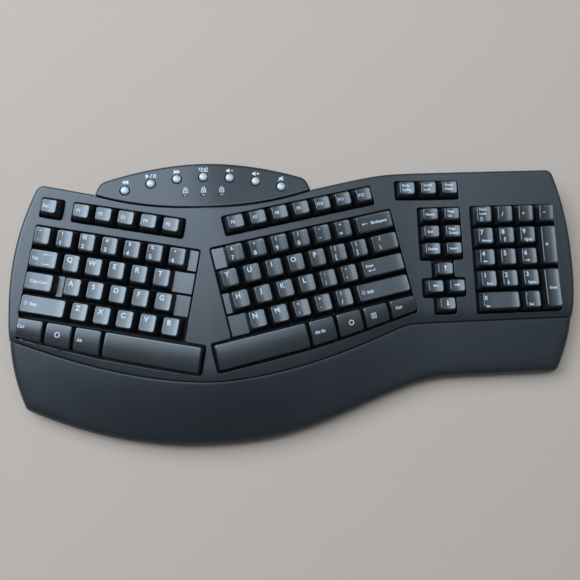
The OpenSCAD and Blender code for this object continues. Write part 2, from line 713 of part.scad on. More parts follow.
module guide_frame(list, parts) {
    color(inner_black) translate([0, 0, frame_low]) linear_extrude(frame_t) difference() {
        stack_plan(parts);
        for (k = list, p = stems(k)) translate(p) square(stem_w + 2 * stem_gap, center = true);
    }
}
dome_sides = 8;
dome_inner = (stem_w / sqrt(2) + stem_gap) / cos(180 / dome_sides);
module dome_sheet(list, parts) {
    translate([0, 0, sheet_low]) linear_extrude(sheet_t) stack_plan(parts);
    for (k = list, p = stems(k)) translate([p[0], p[1], sheet_top - eps])
        linear_extrude(frame_low - sheet_top + eps) difference() {
            circle(r = dome_inner + dome_wall, $fn = dome_sides);
            circle(r = dome_inner, $fn = dome_sides);
        }
}
module dome_sheets() {
    color(rubber_grey) framed() {
        on_left() dome_sheet(left_k, left_stack);
        on_right() dome_sheet(right_k, right_stack);
        on_pad() dome_sheet(pad_all_k, pad_stack);
    }
}
module backing(parts) {
    translate([0, 0, stack_low]) linear_extrude(plate_t) stack_plan(parts);
}
module backing_plates() {
    color(steel) framed() {
        on_left() backing(left_stack);
        on_right() backing(right_stack);
        on_pad() backing(pad_stack);
    }
}

// Battery bay under the middle of the hood
bay_y = 39.5;
bay_wall = 1.2;
bay_half_x = cell_l / 2 + cell_gap + contact_t;
bay_half_y = cell_d + cell_gap / 2 + cell_gap;
rail_t = 1;
door_half = bay_half_x + bay_wall;
door_front = bay_y - bay_half_y - bay_wall;
door_back = hood_arc(hood_x + door_half) - base_inset;
channel_top = pad_t + door_t + door_gap;
bay_floor = channel_top + rail_t;
cell_z = channel_top + cell_gap / 2 + cell_d / 2;
cradle_top = lap_top - lap_gap;

module door_profile(gap) {
    half = door_half + gap;
    mid = door_t / 2 - gap;
    polygon([[-half, -gap], [half, -gap], [half, mid], [half + tongue_w, mid],
        [half + tongue_w, door_t + gap], [-half - tongue_w, door_t + gap],
        [-half - tongue_w, mid], [-half, mid]]);
}
module door_run(gap, from, to) {
    translate([hood_x, to, pad_t]) rotate([90, 0, 0]) linear_extrude(to - from) door_profile(gap);
}
module battery_door() {
    grip_n = 4;
    grip = 1.2;
    grip_in = 6;
    color(charcoal) framed() difference() {
        door_run(0, door_front, door_back - door_gap);
        for (i = [0:grip_n - 1])
            translate([hood_x - door_half / 3, door_back - grip_in - 2 * grip * i, pad_t - eps])
                cube([2 * door_half / 3, grip, door_t / 4]);
    }
}
module battery_cells() {
    nub_r = 2.75;
    nub_l = 1;
    color(steel) framed() for (side = [-1, 1])
        translate([hood_x - side * cell_l / 2, bay_y + side * (cell_d + cell_gap) / 2, cell_z])
            rotate([0, side * 90, 0]) {
                cylinder(d = cell_d, h = cell_l - nub_l, $fn = 48);
                cylinder(r = nub_r, h = cell_l, $fn = 32);
            }
}
module battery_contacts() {
    color(silver) framed() for (side = [-1, 1])
        translate([hood_x + side * (bay_half_x - contact_t / 2), bay_y, cell_z])
            cube([contact_t, 2 * bay_half_y - 2 * cell_gap, cell_d / 2], center = true);
}

slider_x = 55;
slider_y = 40;
slider_d = 3.2;
slider_lip = 1.6;
slider_gap = 0.3;
module power_slider() {
    color(silver) framed() translate([slider_x, slider_y, 0]) {
        translate([-slider_w / 2, -slider_d / 2, pad_t / 2])
            cube([slider_w, slider_d, floor_top + slider_gap - pad_t / 2 + eps]);
        translate([-slider_w / 2 - slider_lip, -slider_d / 2 - slider_lip, floor_top + slider_gap])
            cube([slider_w + 2 * slider_lip, slider_d + 2 * slider_lip, slider_lip]);
    }
}

foot_in = [49, 60];
foot_x = [foot_in[0] - left_reach, right_reach - foot_in[1]];
foot_y = 29;
ear_w = pin_l + 1;
pivot_z = pad_t + foot_t / 2;
pocket_top = pad_t + foot_t + foot_gap;
module tilt_foot(x) {
    color(charcoal) framed() translate([x, foot_y, pivot_z]) {
        difference() {
            union() {
                rotate([0, 90, 0]) cylinder(d = foot_t, h = foot_w, center = true, $fn = 40);
                translate([-foot_w / 2, -foot_l, -foot_t / 2]) cube([foot_w, foot_l, foot_t]);
            }
            translate([-foot_w / 4, -foot_l - eps, -foot_t / 2 - eps]) cube([foot_w / 2, foot_t, foot_t / 3]);
        }
        rotate([0, 90, 0]) cylinder(r = pin_r, h = foot_w + 2 * pin_l, center = true, $fn = 32);
    }
}
// The pocket round a folded foot: its outer block and the space inside it
module foot_block(x) {
    translate([x - foot_w / 2 - ear_w, foot_y - foot_l - foot_gap - bay_wall, pad_t])
        cube([foot_w + 2 * ear_w, foot_l + foot_t / 2 + 2 * foot_gap + 2 * bay_wall,
            foot_t + foot_gap + bay_wall]);
}
module foot_room(x) {
    translate([x - foot_w / 2 - foot_gap, foot_y - foot_l - foot_gap, 0])
        cube([foot_w + 2 * foot_gap, foot_l + foot_t / 2 + 2 * foot_gap, pocket_top]);
    translate([x, foot_y, pivot_z]) rotate([0, 90, 0])
        cylinder(r = pin_r + pin_gap, h = foot_w + 2 * pin_l + 2 * foot_gap, center = true, $fn = 32);
}

// Posts that carry the key stacks, in key pitches
left_posts = [[0.2, -1.5], [5.4, -0.4], [1, -3.4], [5.2, -3.4]];
right_posts = [[0.6, -0.5], [6.4, 0.5], [1, -3.4], [6.4, -3.4]];
pad_posts = [[-2.4, -1], [-2, -4], [1.5, -0.5], [1.5, -4], [3.2, -2]];
post_w = 6;
module stack_posts(places) {
    for (p = places)
        translate([p[0] * key_pitch - post_w / 2, p[1] * key_pitch - post_w / 2, stack_low - tall])
            cube([post_w, post_w, tall]);
}
control_at = [90, -42];
control_size = [58, 34];
standoff_h = 2;
standoff_r = 2.5;
standoff_in = 4;
module base_tray() {
    all_screws = concat(deck_screws, palm_screws, hood_screws);
    color(charcoal) framed() difference() {
        union() {
            translate([0, 0, pad_t]) linear_extrude(floor_t) polygon(outline(base_inset, true));
            translate([0, 0, pad_t]) linear_extrude(parting_h + lap_h - pad_t) difference() {
                polygon(outline(base_inset, true));
                polygon(outline(base_inset + wall, true));
            }
            intersection() {
                for (p = all_screws) translate([p[0], p[1], pad_t])
                    cylinder(r = head_r + boss_wall, h = lap_top - pad_t, $fn = 40);
                translate([0, 0, pad_t]) linear_extrude(tall) polygon(outline(base_inset, true));
            }
            intersection() {
                union() {
                    on_left() stack_posts(left_posts);
                    on_right() stack_posts(right_posts);
                    on_pad() stack_posts(pad_posts);
                }
                translate([-left_reach, -front_reach, pad_t])
                    cube([left_reach + right_reach, front_reach + rear_reach, tall]);
            }
            for (x = [-1, 1], y = [-1, 1])
                translate([control_at[0] + x * (control_size[0] / 2 - standoff_in),
                    control_at[1] + y * (control_size[1] / 2 - standoff_in), pad_t])
                    cylinder(r = standoff_r, h = floor_t + standoff_h, $fn = 32);
            for (x = foot_x) foot_block(x);
            intersection() {
                translate([hood_x - door_half - 2 * tongue_w, door_front - bay_wall, pad_t])
                    cube([2 * door_half + 4 * tongue_w, door_back - door_front + bay_wall + wall,
                        bay_floor - pad_t]);
                translate([0, 0, pad_t]) linear_extrude(tall) polygon(outline(base_inset, true));
            }
            translate([hood_x - bay_half_x - bay_wall, bay_y - bay_half_y - bay_wall, pad_t])
                cube([2 * (bay_half_x + bay_wall), 2 * (bay_half_y + bay_wall), cradle_top - pad_t]);
        }
        for (p = all_screws) translate([p[0], p[1], 0]) {
            cylinder(r = screw_r + pilot_gap, h = tall, $fn = 32);
            cylinder(r = head_r + pilot_gap, h = head_top, $fn = 32);
        }
        for (x = foot_x) foot_room(x);
        door_run(door_gap, door_front - door_gap, rear_reach);
        translate([hood_x - bay_half_x, bay_y - bay_half_y, pad_t])
            cube([2 * bay_half_x, 2 * bay_half_y, tall]);
        translate([slider_x - slider_w / 2 - slider_gap, slider_y - slider_d / 2 - slider_gap, 0])
            cube([slider_w + slider_travel + 2 * slider_gap, slider_d + 2 * slider_gap, floor_top + eps]);
    }
}
module controller_board() {
    chip = [14, 14, 2];
    color(board_green) framed() translate([control_at[0], control_at[1], floor_top + standoff_h]) {
        translate([-control_size[0] / 2, -control_size[1] / 2, 0])
            cube([control_size[0], control_size[1], board_t]);
        translate([-chip[0] / 2, -chip[1] / 2, board_t - eps]) cube(chip);
    }
}
cross_l = 2.8;
cross_w = 0.6;
module case_screw() {
    difference() {
        union() {
            cylinder(r = head_r, h = head_h, $fn = 32);
            cylinder(r = screw_r, h = lap_top + screw_bite - floor_top, $fn = 32);
        }
        for (a = [0, 90]) rotate([0, 0, a]) translate([-cross_l / 2, -cross_w / 2, -eps])
            cube([cross_l, cross_w, head_h / 2]);
    }
}
module case_screws() {
    color(steel) framed() for (p = concat(deck_screws, palm_screws, hood_screws))
        translate([p[0], p[1], floor_top]) case_screw();
}

// Rubber pads: four behind the front edge, one inside each side wall and one under the ridge
pad_front_in = 16;
pad_side_in = 18;
pad_corner_x = [27, 52];
pad_inner_x = [0, 112];
pad_front_x = concat([pad_corner_x[0] - left_reach], pad_inner_x, [right_reach - pad_corner_x[1]]);
pad_side_y = [-10, 32];
pad_mid = [34, 2];
pad_at = concat([for (x = pad_front_x) [x, front_edge(x) + pad_front_in]],
    [[left_edge(pad_side_y[0]) + pad_side_in, pad_side_y[0]],
    [right_edge(pad_side_y[1]) - pad_side_in, pad_side_y[1]], pad_mid]);
pad_size = [18, 9];
module rubber_pads() {
    color(rubber_grey) framed() for (p = pad_at) translate([p[0], p[1], 0]) linear_extrude(pad_t)
        chamfered(pad_size[0], pad_size[1], pad_size[1] / 4);
}

base_tray();
top_case();
palm_rest();
media_hood();
framed() on_left() guide_frame(left_k, left_stack);  // key_frame_left
framed() on_right() guide_frame(right_k, right_stack);  // key_frame_right
framed() on_pad() guide_frame(pad_all_k, pad_stack);  // key_frame_pad
dome_sheets();
backing_plates();
controller_board();
media_board();
battery_cells();
battery_contacts();
battery_door();
power_slider();
status_lenses();
case_screws();
rubber_pads();
tilt_foot(foot_x[0]);  // tilt_foot_left
tilt_foot(foot_x[1]);  // tilt_foot_right
media_button(0);  // media_rewind
media_button(1);  // media_play
media_button(2);  // media_forward
media_button(3);  // media_link
media_button(4);  // media_quieter
media_button(5);  // media_louder
media_button(6);  // media_mute
framed() on_left() caps(escape_k);  // escape_key
framed() on_left() caps(function_left_k);  // function_keys_left
framed() on_right() caps(function_right_k);  // function_keys_right
framed() on_left() caps(number_left_k);  // number_keys_left
framed() on_left() caps(tab_k);  // tab_key
framed() on_left() caps(upper_left_k);  // upper_keys_left
framed() on_left() caps(caps_k);  // caps_key
framed() on_left() caps(home_left_k);  // home_keys_left
framed() on_left() caps(shift_left_k);  // shift_key_left
framed() on_left() caps(lower_left_k);  // lower_keys_left
framed() on_left() slabs(control_left_k);  // control_key_left
framed() on_left() slabs(mark_left_k);  // mark_key_left
framed() on_left() slabs(alt_left_k);  // alt_key_left
framed() on_left() slabs(space_left_k);  // space_bar_left
framed() on_right() caps(number_right_k);  // number_keys_right
framed() on_right() caps(backspace_k);  // backspace_key
framed() on_right() caps(upper_right_k);  // upper_keys_right
framed() on_right() caps(home_right_k);  // home_keys_right
framed() on_right() caps(enter_k);  // enter_key
framed() on_right() caps(lower_right_k);  // lower_keys_right
framed() on_right() caps(shift_right_k);  // shift_key_right
framed() on_right() slabs(space_right_k);  // space_bar_right
framed() on_right() slabs(alt_right_k);  // alt_key_right
framed() on_right() slabs(mark_right_k);  // mark_key_right
framed() on_right() slabs(menu_k);  // menu_key
framed() on_right() slabs(control_right_k);  // control_key_right
framed() on_pad() caps(system_k);  // system_keys
framed() on_pad() caps(navigation_k);  // navigation_keys
framed() on_pad() caps(arrow_k);  // arrow_keys
framed() on_pad() caps(pad_k);  // pad_keys
framed() on_pad() caps(pad_plus_k);  // pad_plus_key
framed() on_pad() caps(pad_enter_k);  // pad_enter_key
framed() on_pad() caps(pad_zero_k);  // pad_zero_key
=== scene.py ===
"""Dress of the split keyboard: moulded shells, dished keycaps with legends, media buttons,
finishes for the inner pieces, and the stage."""

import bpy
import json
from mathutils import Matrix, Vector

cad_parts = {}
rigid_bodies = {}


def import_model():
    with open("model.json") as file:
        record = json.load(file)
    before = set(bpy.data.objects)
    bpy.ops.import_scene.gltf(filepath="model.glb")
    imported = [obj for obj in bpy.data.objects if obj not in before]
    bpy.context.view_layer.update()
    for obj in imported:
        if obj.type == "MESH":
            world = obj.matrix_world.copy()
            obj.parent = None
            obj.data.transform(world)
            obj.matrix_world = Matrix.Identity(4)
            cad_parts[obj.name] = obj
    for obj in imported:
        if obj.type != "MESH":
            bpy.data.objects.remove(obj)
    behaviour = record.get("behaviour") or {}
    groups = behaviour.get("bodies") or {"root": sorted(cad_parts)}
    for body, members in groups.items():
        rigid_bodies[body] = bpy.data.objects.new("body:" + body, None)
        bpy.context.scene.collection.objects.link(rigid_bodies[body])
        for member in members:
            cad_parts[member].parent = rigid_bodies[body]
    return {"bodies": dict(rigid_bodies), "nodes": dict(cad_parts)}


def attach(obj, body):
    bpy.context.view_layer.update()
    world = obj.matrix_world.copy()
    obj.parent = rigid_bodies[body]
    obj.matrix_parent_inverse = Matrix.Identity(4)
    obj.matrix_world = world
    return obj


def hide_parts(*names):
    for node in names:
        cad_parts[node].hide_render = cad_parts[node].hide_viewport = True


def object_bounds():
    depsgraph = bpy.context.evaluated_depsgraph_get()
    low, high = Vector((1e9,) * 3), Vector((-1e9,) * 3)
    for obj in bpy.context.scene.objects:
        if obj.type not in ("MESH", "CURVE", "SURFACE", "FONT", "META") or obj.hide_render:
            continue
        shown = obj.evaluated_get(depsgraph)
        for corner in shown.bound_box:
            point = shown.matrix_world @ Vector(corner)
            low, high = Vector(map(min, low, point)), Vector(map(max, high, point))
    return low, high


bl_info = {
    "name": "Split keyboard dress",
    "version": (1, 0, 0),
    "blender": (4, 5, 0),
    "location": "3D View > Sidebar > Keyboard",
    "description": "Builds the shells, keycaps, legends, finishes and stage of a split keyboard",
    "category": "Object",
}

import json
import math

import bmesh
import bpy
import numpy as np
from mathutils import Matrix, Vector
from mathutils.geometry import delaunay_2d_cdt

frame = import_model()
CAD_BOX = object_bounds()
MM = 0.001

# Layout of the case in millimetres, with X = 0 on the ridge and Y = 0 on the row datum
SPLAY = math.radians(11.8)
TENT = math.radians(7.0)
PITCH = math.radians(4.0)
RIDGE_H = 52.0
PAD_FALL = 21.0
PAD_BLEND = 2.5
DECK_DROP = 8.5
CREST = 8.0
PARTING_H = 7.0
REAR_TOE = 0.75
NOSE_H = 14.5
NOSE_ROUND = 6.0
PALM_BEND = math.radians(68.0)
LEFT_REACH = 166.5
RIGHT_REACH = 324.0
FRONT_REACH = 176.5
REAR_REACH = 60.5
SHIFT = np.array([LEFT_REACH - RIGHT_REACH, FRONT_REACH - REAR_REACH, 0.0]) / 2
LEFT_WIDE_Y = -65.0
RIGHT_WIDE_Y = -36.0
LEFT_REAR = (22.8, 105.5)
LEFT_FRONT = (14.3, 75.2)
RIGHT_REAR = (10.3, 80.0)
RIGHT_FRONT = (22.3, 92.4)
SIDE_POWER = 2.3
BELLY_X = -3.0
BELLY_LEFT = (35.5, 147.0)
BELLY_RIGHT = (47.2, 208.0)
BELLY_SKEW = 1.3
REAR_SIDE_Y = 35.6
REAR_SLOPE = math.radians(13.8)
REAR_FLAT = 51.9
REAR_BLEND = 5.0
ARC_Y = 18.6
ARC_RADIUS = 280.0
SEAM_X = 3.0
SEAM_FRONT = -125.6
SEAM_RISE = 43.0
SEAM_RUN = 166.0
SEAM_POWER = 1.7
SEAM_FLAT = -82.5
SEAM_BLEND = 3.0
SEAM_GAP = 0.35
PALM_BEVEL = 0.95
PALM_BEVEL_SLOPE = 0.45
PALM_LIP = 0.25
STRIP_FALL = 1.3
STRIP_WIDE = 9.0
STRIP_POWER = 1.4
CORNER_ROUND = 7.0
HOOD_X = -1.5
HOOD_HALF = 92.0
HOOD_RADIUS = 250.0
HOOD_REAR_RADIUS = 275.0
HOOD_CUT = 4.0
HOOD_END_GAP = 0.4
HOOD_CORNER = 10.0
HOOD_CREST = 25.0
HOOD_STEP = 2.2
HOOD_SLOPE = math.radians(8.0)
HOOD_CY = REAR_REACH - HOOD_RADIUS
SHADOW_GAP = 1.3
BUTTON_R = 3.65
BUTTON_RING = 0.75
BUTTON_RISE = 1.4
BUTTON_ARC = HOOD_RADIUS - 13.3
BUTTON_STEP = math.radians(5.4)
LENS_STEP = 15.2
LENS_Y = 30.5
PITCH_U = 19.05
KEY_GAP = 1.0
LOW_ROW = -3.56
F_ROW = 1.33
F_DEEP = 0.84
NAV_DEEP = 0.8
STEP_TOP = -7.7
SKIRT_LOW = -11.0
BLOCK_SEATS = {"left": (-135.3, -1.1), "right": (23.7, -22.7), "pad": (242.6, 7.3)}
TINY = 1e-6
MITRE = 0.4


def soft_min(a, b, k):
    return (a + b - np.sqrt((a - b) ** 2 + k * k)) / 2


def soft_abs(v, k):
    return np.sqrt(v * v + k * k) - k


def ease(v):
    return v * v * (3 - 2 * v)


def bulge(curve, d):
    return curve[0] * (np.maximum(d, 0) / curve[1]) ** SIDE_POWER


def round_off(d, r):
    q = np.clip(r - np.maximum(d, 0), 0, r)
    return r - np.sqrt(np.maximum(0, r * r - q * q))


def deck_z(x, y, soft=CREST):
    slope = math.tan(TENT) * soft_abs(x, soft)
    fall = np.where(x < 0, slope, soft_min(slope, PAD_FALL, PAD_BLEND))
    return RIDGE_H + y * math.tan(PITCH) - (fall + DECK_DROP) / math.cos(PITCH)


def left_edge(y):
    return -LEFT_REACH + bulge(LEFT_REAR, y - LEFT_WIDE_Y) + bulge(LEFT_FRONT, LEFT_WIDE_Y - y)


def right_edge(y):
    return RIGHT_REACH - bulge(RIGHT_REAR, y - RIGHT_WIDE_Y) - bulge(RIGHT_FRONT, RIGHT_WIDE_Y - y)


def front_edge(x):
    left = BELLY_LEFT[0] * (np.maximum(BELLY_X - x, 0) / BELLY_LEFT[1]) ** 2
    along = np.clip((x - BELLY_X) / BELLY_RIGHT[1], 0, 1) ** BELLY_SKEW
    return -FRONT_REACH + left + BELLY_RIGHT[0] * ease(along)


def seam(x):
    rise = SEAM_RISE * (np.abs(x - SEAM_X) / SEAM_RUN) ** SEAM_POWER
    return soft_min(SEAM_FRONT + rise, SEAM_FLAT, SEAM_BLEND)


def deck_arc(x):
    return ARC_Y + ARC_RADIUS - np.sqrt(np.maximum(ARC_RADIUS ** 2 - (x - HOOD_X) ** 2, 1))


def deck_rear(x):
    d = np.abs(x - HOOD_X) - HOOD_HALF
    side = REAR_SIDE_Y + d * math.tan(REAR_SLOPE)
    return np.where(x < HOOD_X, side, soft_min(side, REAR_FLAT, REAR_BLEND))


def hood_arc(x):
    return REAR_REACH - HOOD_REAR_RADIUS + np.sqrt(np.maximum(HOOD_REAR_RADIUS ** 2 - (x - HOOD_X) ** 2, 1))


def hood_z(x, y):
    front = deck_arc(x)
    return deck_z(x, front, HOOD_CREST) - HOOD_STEP - (y - front) * math.tan(HOOD_SLOPE)


def palm_z(x, y):
    low = front_edge(x)
    high = seam(x)
    t = np.clip((y - low) / (high - low), 0, 1)
    return NOSE_H + (deck_z(x, high) - NOSE_H) * np.sin(PALM_BEND * t) / math.sin(PALM_BEND)


def button_at(i):
    a = (i - 3) * BUTTON_STEP
    x = HOOD_X + BUTTON_ARC * math.sin(a)
    y = HOOD_CY + BUTTON_ARC * math.cos(a)
    return x, y, float(hood_z(np.float64(x), np.float64(y)))


def lens_at(i):
    x = HOOD_X + (i - 1) * LENS_STEP
    return x, LENS_Y, float(hood_z(np.float64(x), np.float64(LENS_Y)))


def key_seat(x, y, drop):
    return np.array([x, y * math.cos(PITCH) + drop * math.sin(PITCH),
                     RIDGE_H + y * math.sin(PITCH) - drop * math.cos(PITCH)])


def block_frame(block):
    """Seat and turn of a key block: the place of its first number key, and its tilt and splay."""
    x, y = BLOCK_SEATS[block]
    if block == "pad":
        return key_seat(x, y, PAD_FALL) + SHIFT, 0.0, 0.0
    side = -1 if block == "left" else 1
    return key_seat(x, y, math.tan(TENT) * abs(x)) + SHIFT, side * TENT, side * SPLAY


def block_matrix(block):
    seat, tilt, turn = block_frame(block)
    spin = Matrix.Rotation(PITCH, 4, "X") @ Matrix.Rotation(tilt, 4, "Y") @ Matrix.Rotation(turn, 4, "Z")
    return Matrix.Translation(Vector(seat)) @ spin


def on_block(block, points):
    m = np.array(block_matrix(block))
    return points @ m[:3, :3].T + m[:3, 3]


# Plan paths

def settle(f, g, v):
    for _ in range(30):
        v = f(g(v))
    return float(v)


def walked(path):
    """Length along a path up to each of its points."""
    return np.concatenate([[0], np.cumsum(np.hypot(*np.diff(path, axis=0).T))])


def points_at(path, s, t):
    return np.column_stack([np.interp(t, s, path[:, 0]), np.interp(t, s, path[:, 1])])


def resample(path, step):
    s = walked(path)
    return points_at(path, s, np.linspace(0, s[-1], max(1, int(round(s[-1] / step))) + 1))


def trim(path, head, tail):
    s = walked(path)
    inner = (s > head + TINY) & (s < s[-1] - tail - TINY)
    first, last = points_at(path, s, (head, s[-1] - tail))
    return np.concatenate([[first], path[inner], [last]])


ARC_STEP = math.radians(14)
LEAST_TURN = 0.02
CHUNK = 2000


def corner_arc(a, c, b, turn):
    k = 4 / 3 * math.tan(turn / 4) / math.tan(turn / 2)
    n = max(2, int(math.ceil(turn / ARC_STEP)))
    t = np.linspace(0, 1, n + 1)[1:-1, None]
    p = a + k * (c - a)
    q = b + k * (c - b)
    return (1 - t) ** 3 * a + 3 * (1 - t) ** 2 * t * p + 3 * (1 - t) * t * t * q + t ** 3 * b


def closed_path(curves, radii, step):
    """Closed outline from curves that run end to end, and the number of the curve at each point.
    The corner after each curve has its own rounding."""
    curves = [np.asarray(c, float) for c in curves]
    n = len(curves)
    cuts = []
    for i in range(n):
        a = curves[i]
        b = curves[(i + 1) % n]
        u = a[-1] - a[-2]
        v = b[1] - b[0]
        turn = abs(math.atan2(u[0] * v[1] - u[1] * v[0], u @ v))
        cuts.append((radii[i] * math.tan(turn / 2), turn))
    points = []
    tags = []
    for i in range(n):
        body = resample(trim(curves[i], cuts[i - 1][0], cuts[i][0]), step)
        if cuts[i][1] < LEAST_TURN:
            body = body[:-1]
        points.append(body)
        tags += [i] * len(body)
        if cuts[i][1] >= LEAST_TURN:
            nxt = trim(curves[(i + 1) % n], cuts[i][0], 0)
            arc = corner_arc(body[-1], curves[i][-1], nxt[0], cuts[i][1])
            points.append(arc)
            tags += [i] * len(arc)
    return np.concatenate(points), np.array(tags)


def rounded_polygon(corners, radius, step):
    corners = np.asarray(corners, float)
    n = len(corners)
    sides = [np.array([corners[i], corners[(i + 1) % n]]) for i in range(n)]
    return closed_path(sides, [radius] * n, step)[0]


def inset(poly, d):
    """A closed outline moved d to its left, which is inwards where it runs anticlockwise."""
    back = poly - np.roll(poly, 1, 0)
    ahead = np.roll(poly, -1, 0) - poly
    n1 = np.column_stack([-back[:, 1], back[:, 0]]) / np.hypot(*back.T)[:, None]
    n2 = np.column_stack([-ahead[:, 1], ahead[:, 0]]) / np.hypot(*ahead.T)[:, None]
    mid = n1 + n2
    mid /= np.hypot(*mid.T)[:, None]
    return poly + d * mid / np.maximum(MITRE, np.sum(mid * n1, 1))[:, None]


def gap_to(points, path):
    """Distance from each point to an open path."""
    a = path[:-1]
    ab = path[1:] - a
    square = np.maximum(np.sum(ab * ab, 1), 1e-12)
    out = np.empty(len(points))
    for i in range(0, len(points), CHUNK):
        p = points[i:i + CHUNK, None, :] - a
        t = np.clip(np.sum(p * ab, 2) / square, 0, 1)
        out[i:i + CHUNK] = np.sqrt(np.min(np.sum((p - t[..., None] * ab) ** 2, 2), 1))
    return out


def closed(poly):
    return np.concatenate([poly, poly[:1]])


def inside(points, poly):
    count = np.zeros(len(points), int)
    for p, q in zip(poly, np.roll(poly, -1, 0)):
        cross = (p[1] > points[:, 1]) != (q[1] > points[:, 1])
        if cross.any():
            x = p[0] + (points[:, 1] - p[1]) * (q[0] - p[0]) / (q[1] - p[1] + 1e-15)
            count += cross & (points[:, 0] < x)
    return count % 2 == 1


# Rings of points inside a shell's outline, and rings round each hole with how far each is rolled down
RINGS = (0.0, 0.22, 0.7, 1.5, 2.6, 3.8, 5.2)
RIMS = ((0.0, 0.5), (0.15, 0.14), (0.45, 0.0), (0.6, 0.0))
LEAST_SKIRT = 0.6


def shell_plan(outline, holes, cell):
    """Points and edges from which a shell's top is cut, and the kind of each point: on a ring inside
    the outline, on a rim round a hole, or in the field between them."""
    points = []
    edges = []
    kind = []

    def add_loop(poly, mark):
        base = sum(len(p) for p in points)
        n = len(poly)
        points.append(poly)
        kind.extend([mark] * n)
        edges.extend((base + i, base + (i + 1) % n) for i in range(n))

    for k, d in enumerate(RINGS):
        add_loop(inset(outline, d), ("ring", k))
    for hole in holes:
        for k, (d, _) in enumerate(RIMS):
            add_loop(inset(hole, -d), ("rim", k))
    lo = outline.min(0) + cell
    hi = outline.max(0) - cell
    gx, gy = np.meshgrid(np.arange(lo[0], hi[0], cell), np.arange(lo[1], hi[1], cell))
    field = np.column_stack([gx.ravel(), gy.ravel()])
    keep = inside(field, outline) & (gap_to(field, closed(outline)) > RINGS[-1] + cell / 3)
    for hole in holes:
        keep &= ~inside(field, hole)
        keep &= gap_to(field, closed(hole)) > RIMS[-1][0] + cell / 4
    points.append(field[keep])
    kind.extend([("field", 0)] * (int(keep.sum()) + 1))
    return np.concatenate(points), edges, kind


def shell_triangles(flat, edges, outline, holes):
    """Points of a shell's top, the plan point that each came from, and triangles that all face up."""
    verts, _, faces, origin, _, _ = delaunay_2d_cdt([Vector(p) for p in flat], edges, [], 0, 1e-5)
    xy = np.array([v[:2] for v in verts])
    source = np.array([o[0] if o else len(flat) for o in origin])
    tri = np.array(faces)
    mid = xy[tri].mean(1)
    stay = inside(mid, outline)
    for hole in holes:
        stay &= ~inside(mid, hole)
    tri = tri[stay]
    b = xy[tri[:, 1]] - xy[tri[:, 0]]
    c = xy[tri[:, 2]] - xy[tri[:, 0]]
    flipped = b[:, 0] * c[:, 1] - b[:, 1] * c[:, 0] < 0
    tri[flipped] = tri[flipped][:, ::-1]
    used = np.unique(tri)
    renumber = np.full(len(xy), -1)
    renumber[used] = np.arange(len(used))
    return xy[used], source[used], renumber[tri]


def moulded_shell(outline, holes, height, bottom, wall, cell, toe=None):
    """A closed thin shell: its outside follows the height function over the outline, with each hole's
    edge rolled over, its skirt reaches the bottom heights, and its inside lies a wall deeper. The
    skirt's foot is thicker by toe, which has a value for each point of the outline."""
    flat, edges, kind = shell_plan(outline, holes, cell)
    xy, source, tri = shell_triangles(flat, edges, outline, holes)
    n = len(xy)
    z = height(xy)
    inward = np.zeros((n, 2))
    ring = inset(outline, 1.0) - outline
    for i, s in enumerate(source):
        place, k = kind[s]
        if place == "rim":
            z[i] -= RIMS[k][1]
        elif place == "ring":
            inward[i] = ring[s % len(outline)] * (wall * (1 - RINGS[k] / RINGS[-1]))
    inner = np.column_stack([xy + inward, z - wall])
    edge = [i for i, s in enumerate(source) if s < len(outline)]
    low = np.minimum(bottom[source[edge]], z[edge] - wall - LEAST_SKIRT)
    skirt = np.column_stack([xy[edge], low])
    foot = inner[edge][:, :2]
    if toe is not None:
        foot = foot + ring[source[edge]] * toe[source[edge], None]
    tuck = np.column_stack([foot, low])
    verts = np.concatenate([np.column_stack([xy, z]), inner, skirt, tuck])
    faces = [tuple(f) for f in tri] + [(f[2] + n, f[1] + n, f[0] + n) for f in tri]
    below = {v: 2 * n + i for i, v in enumerate(edge)}
    m = len(edge)
    directed = {(f[k], f[(k + 1) % 3]): True for f in tri for k in range(3)}
    for p, q in directed:
        if (q, p) in directed:
            continue
        if p in below and q in below:
            faces.append((q, p, below[p], below[q]))
            faces.append((below[q], below[p], below[p] + m, below[q] + m))
            faces.append((below[q] + m, below[p] + m, p + n, q + n))
        else:
            faces.append((q, p, p + n, q + n))
    return verts, faces


# Keys: across, along, width and depth in key pitches, and the low step to the left and to the right

def run(u, n, v, d=1.0):
    return [(u + i, v, 1.0, d, 0.0, 0.0) for i in range(n)]


def one(u, v, w, d=1.0, left=0.0, right=0.0):
    return [(u, v, w, d, left, right)]


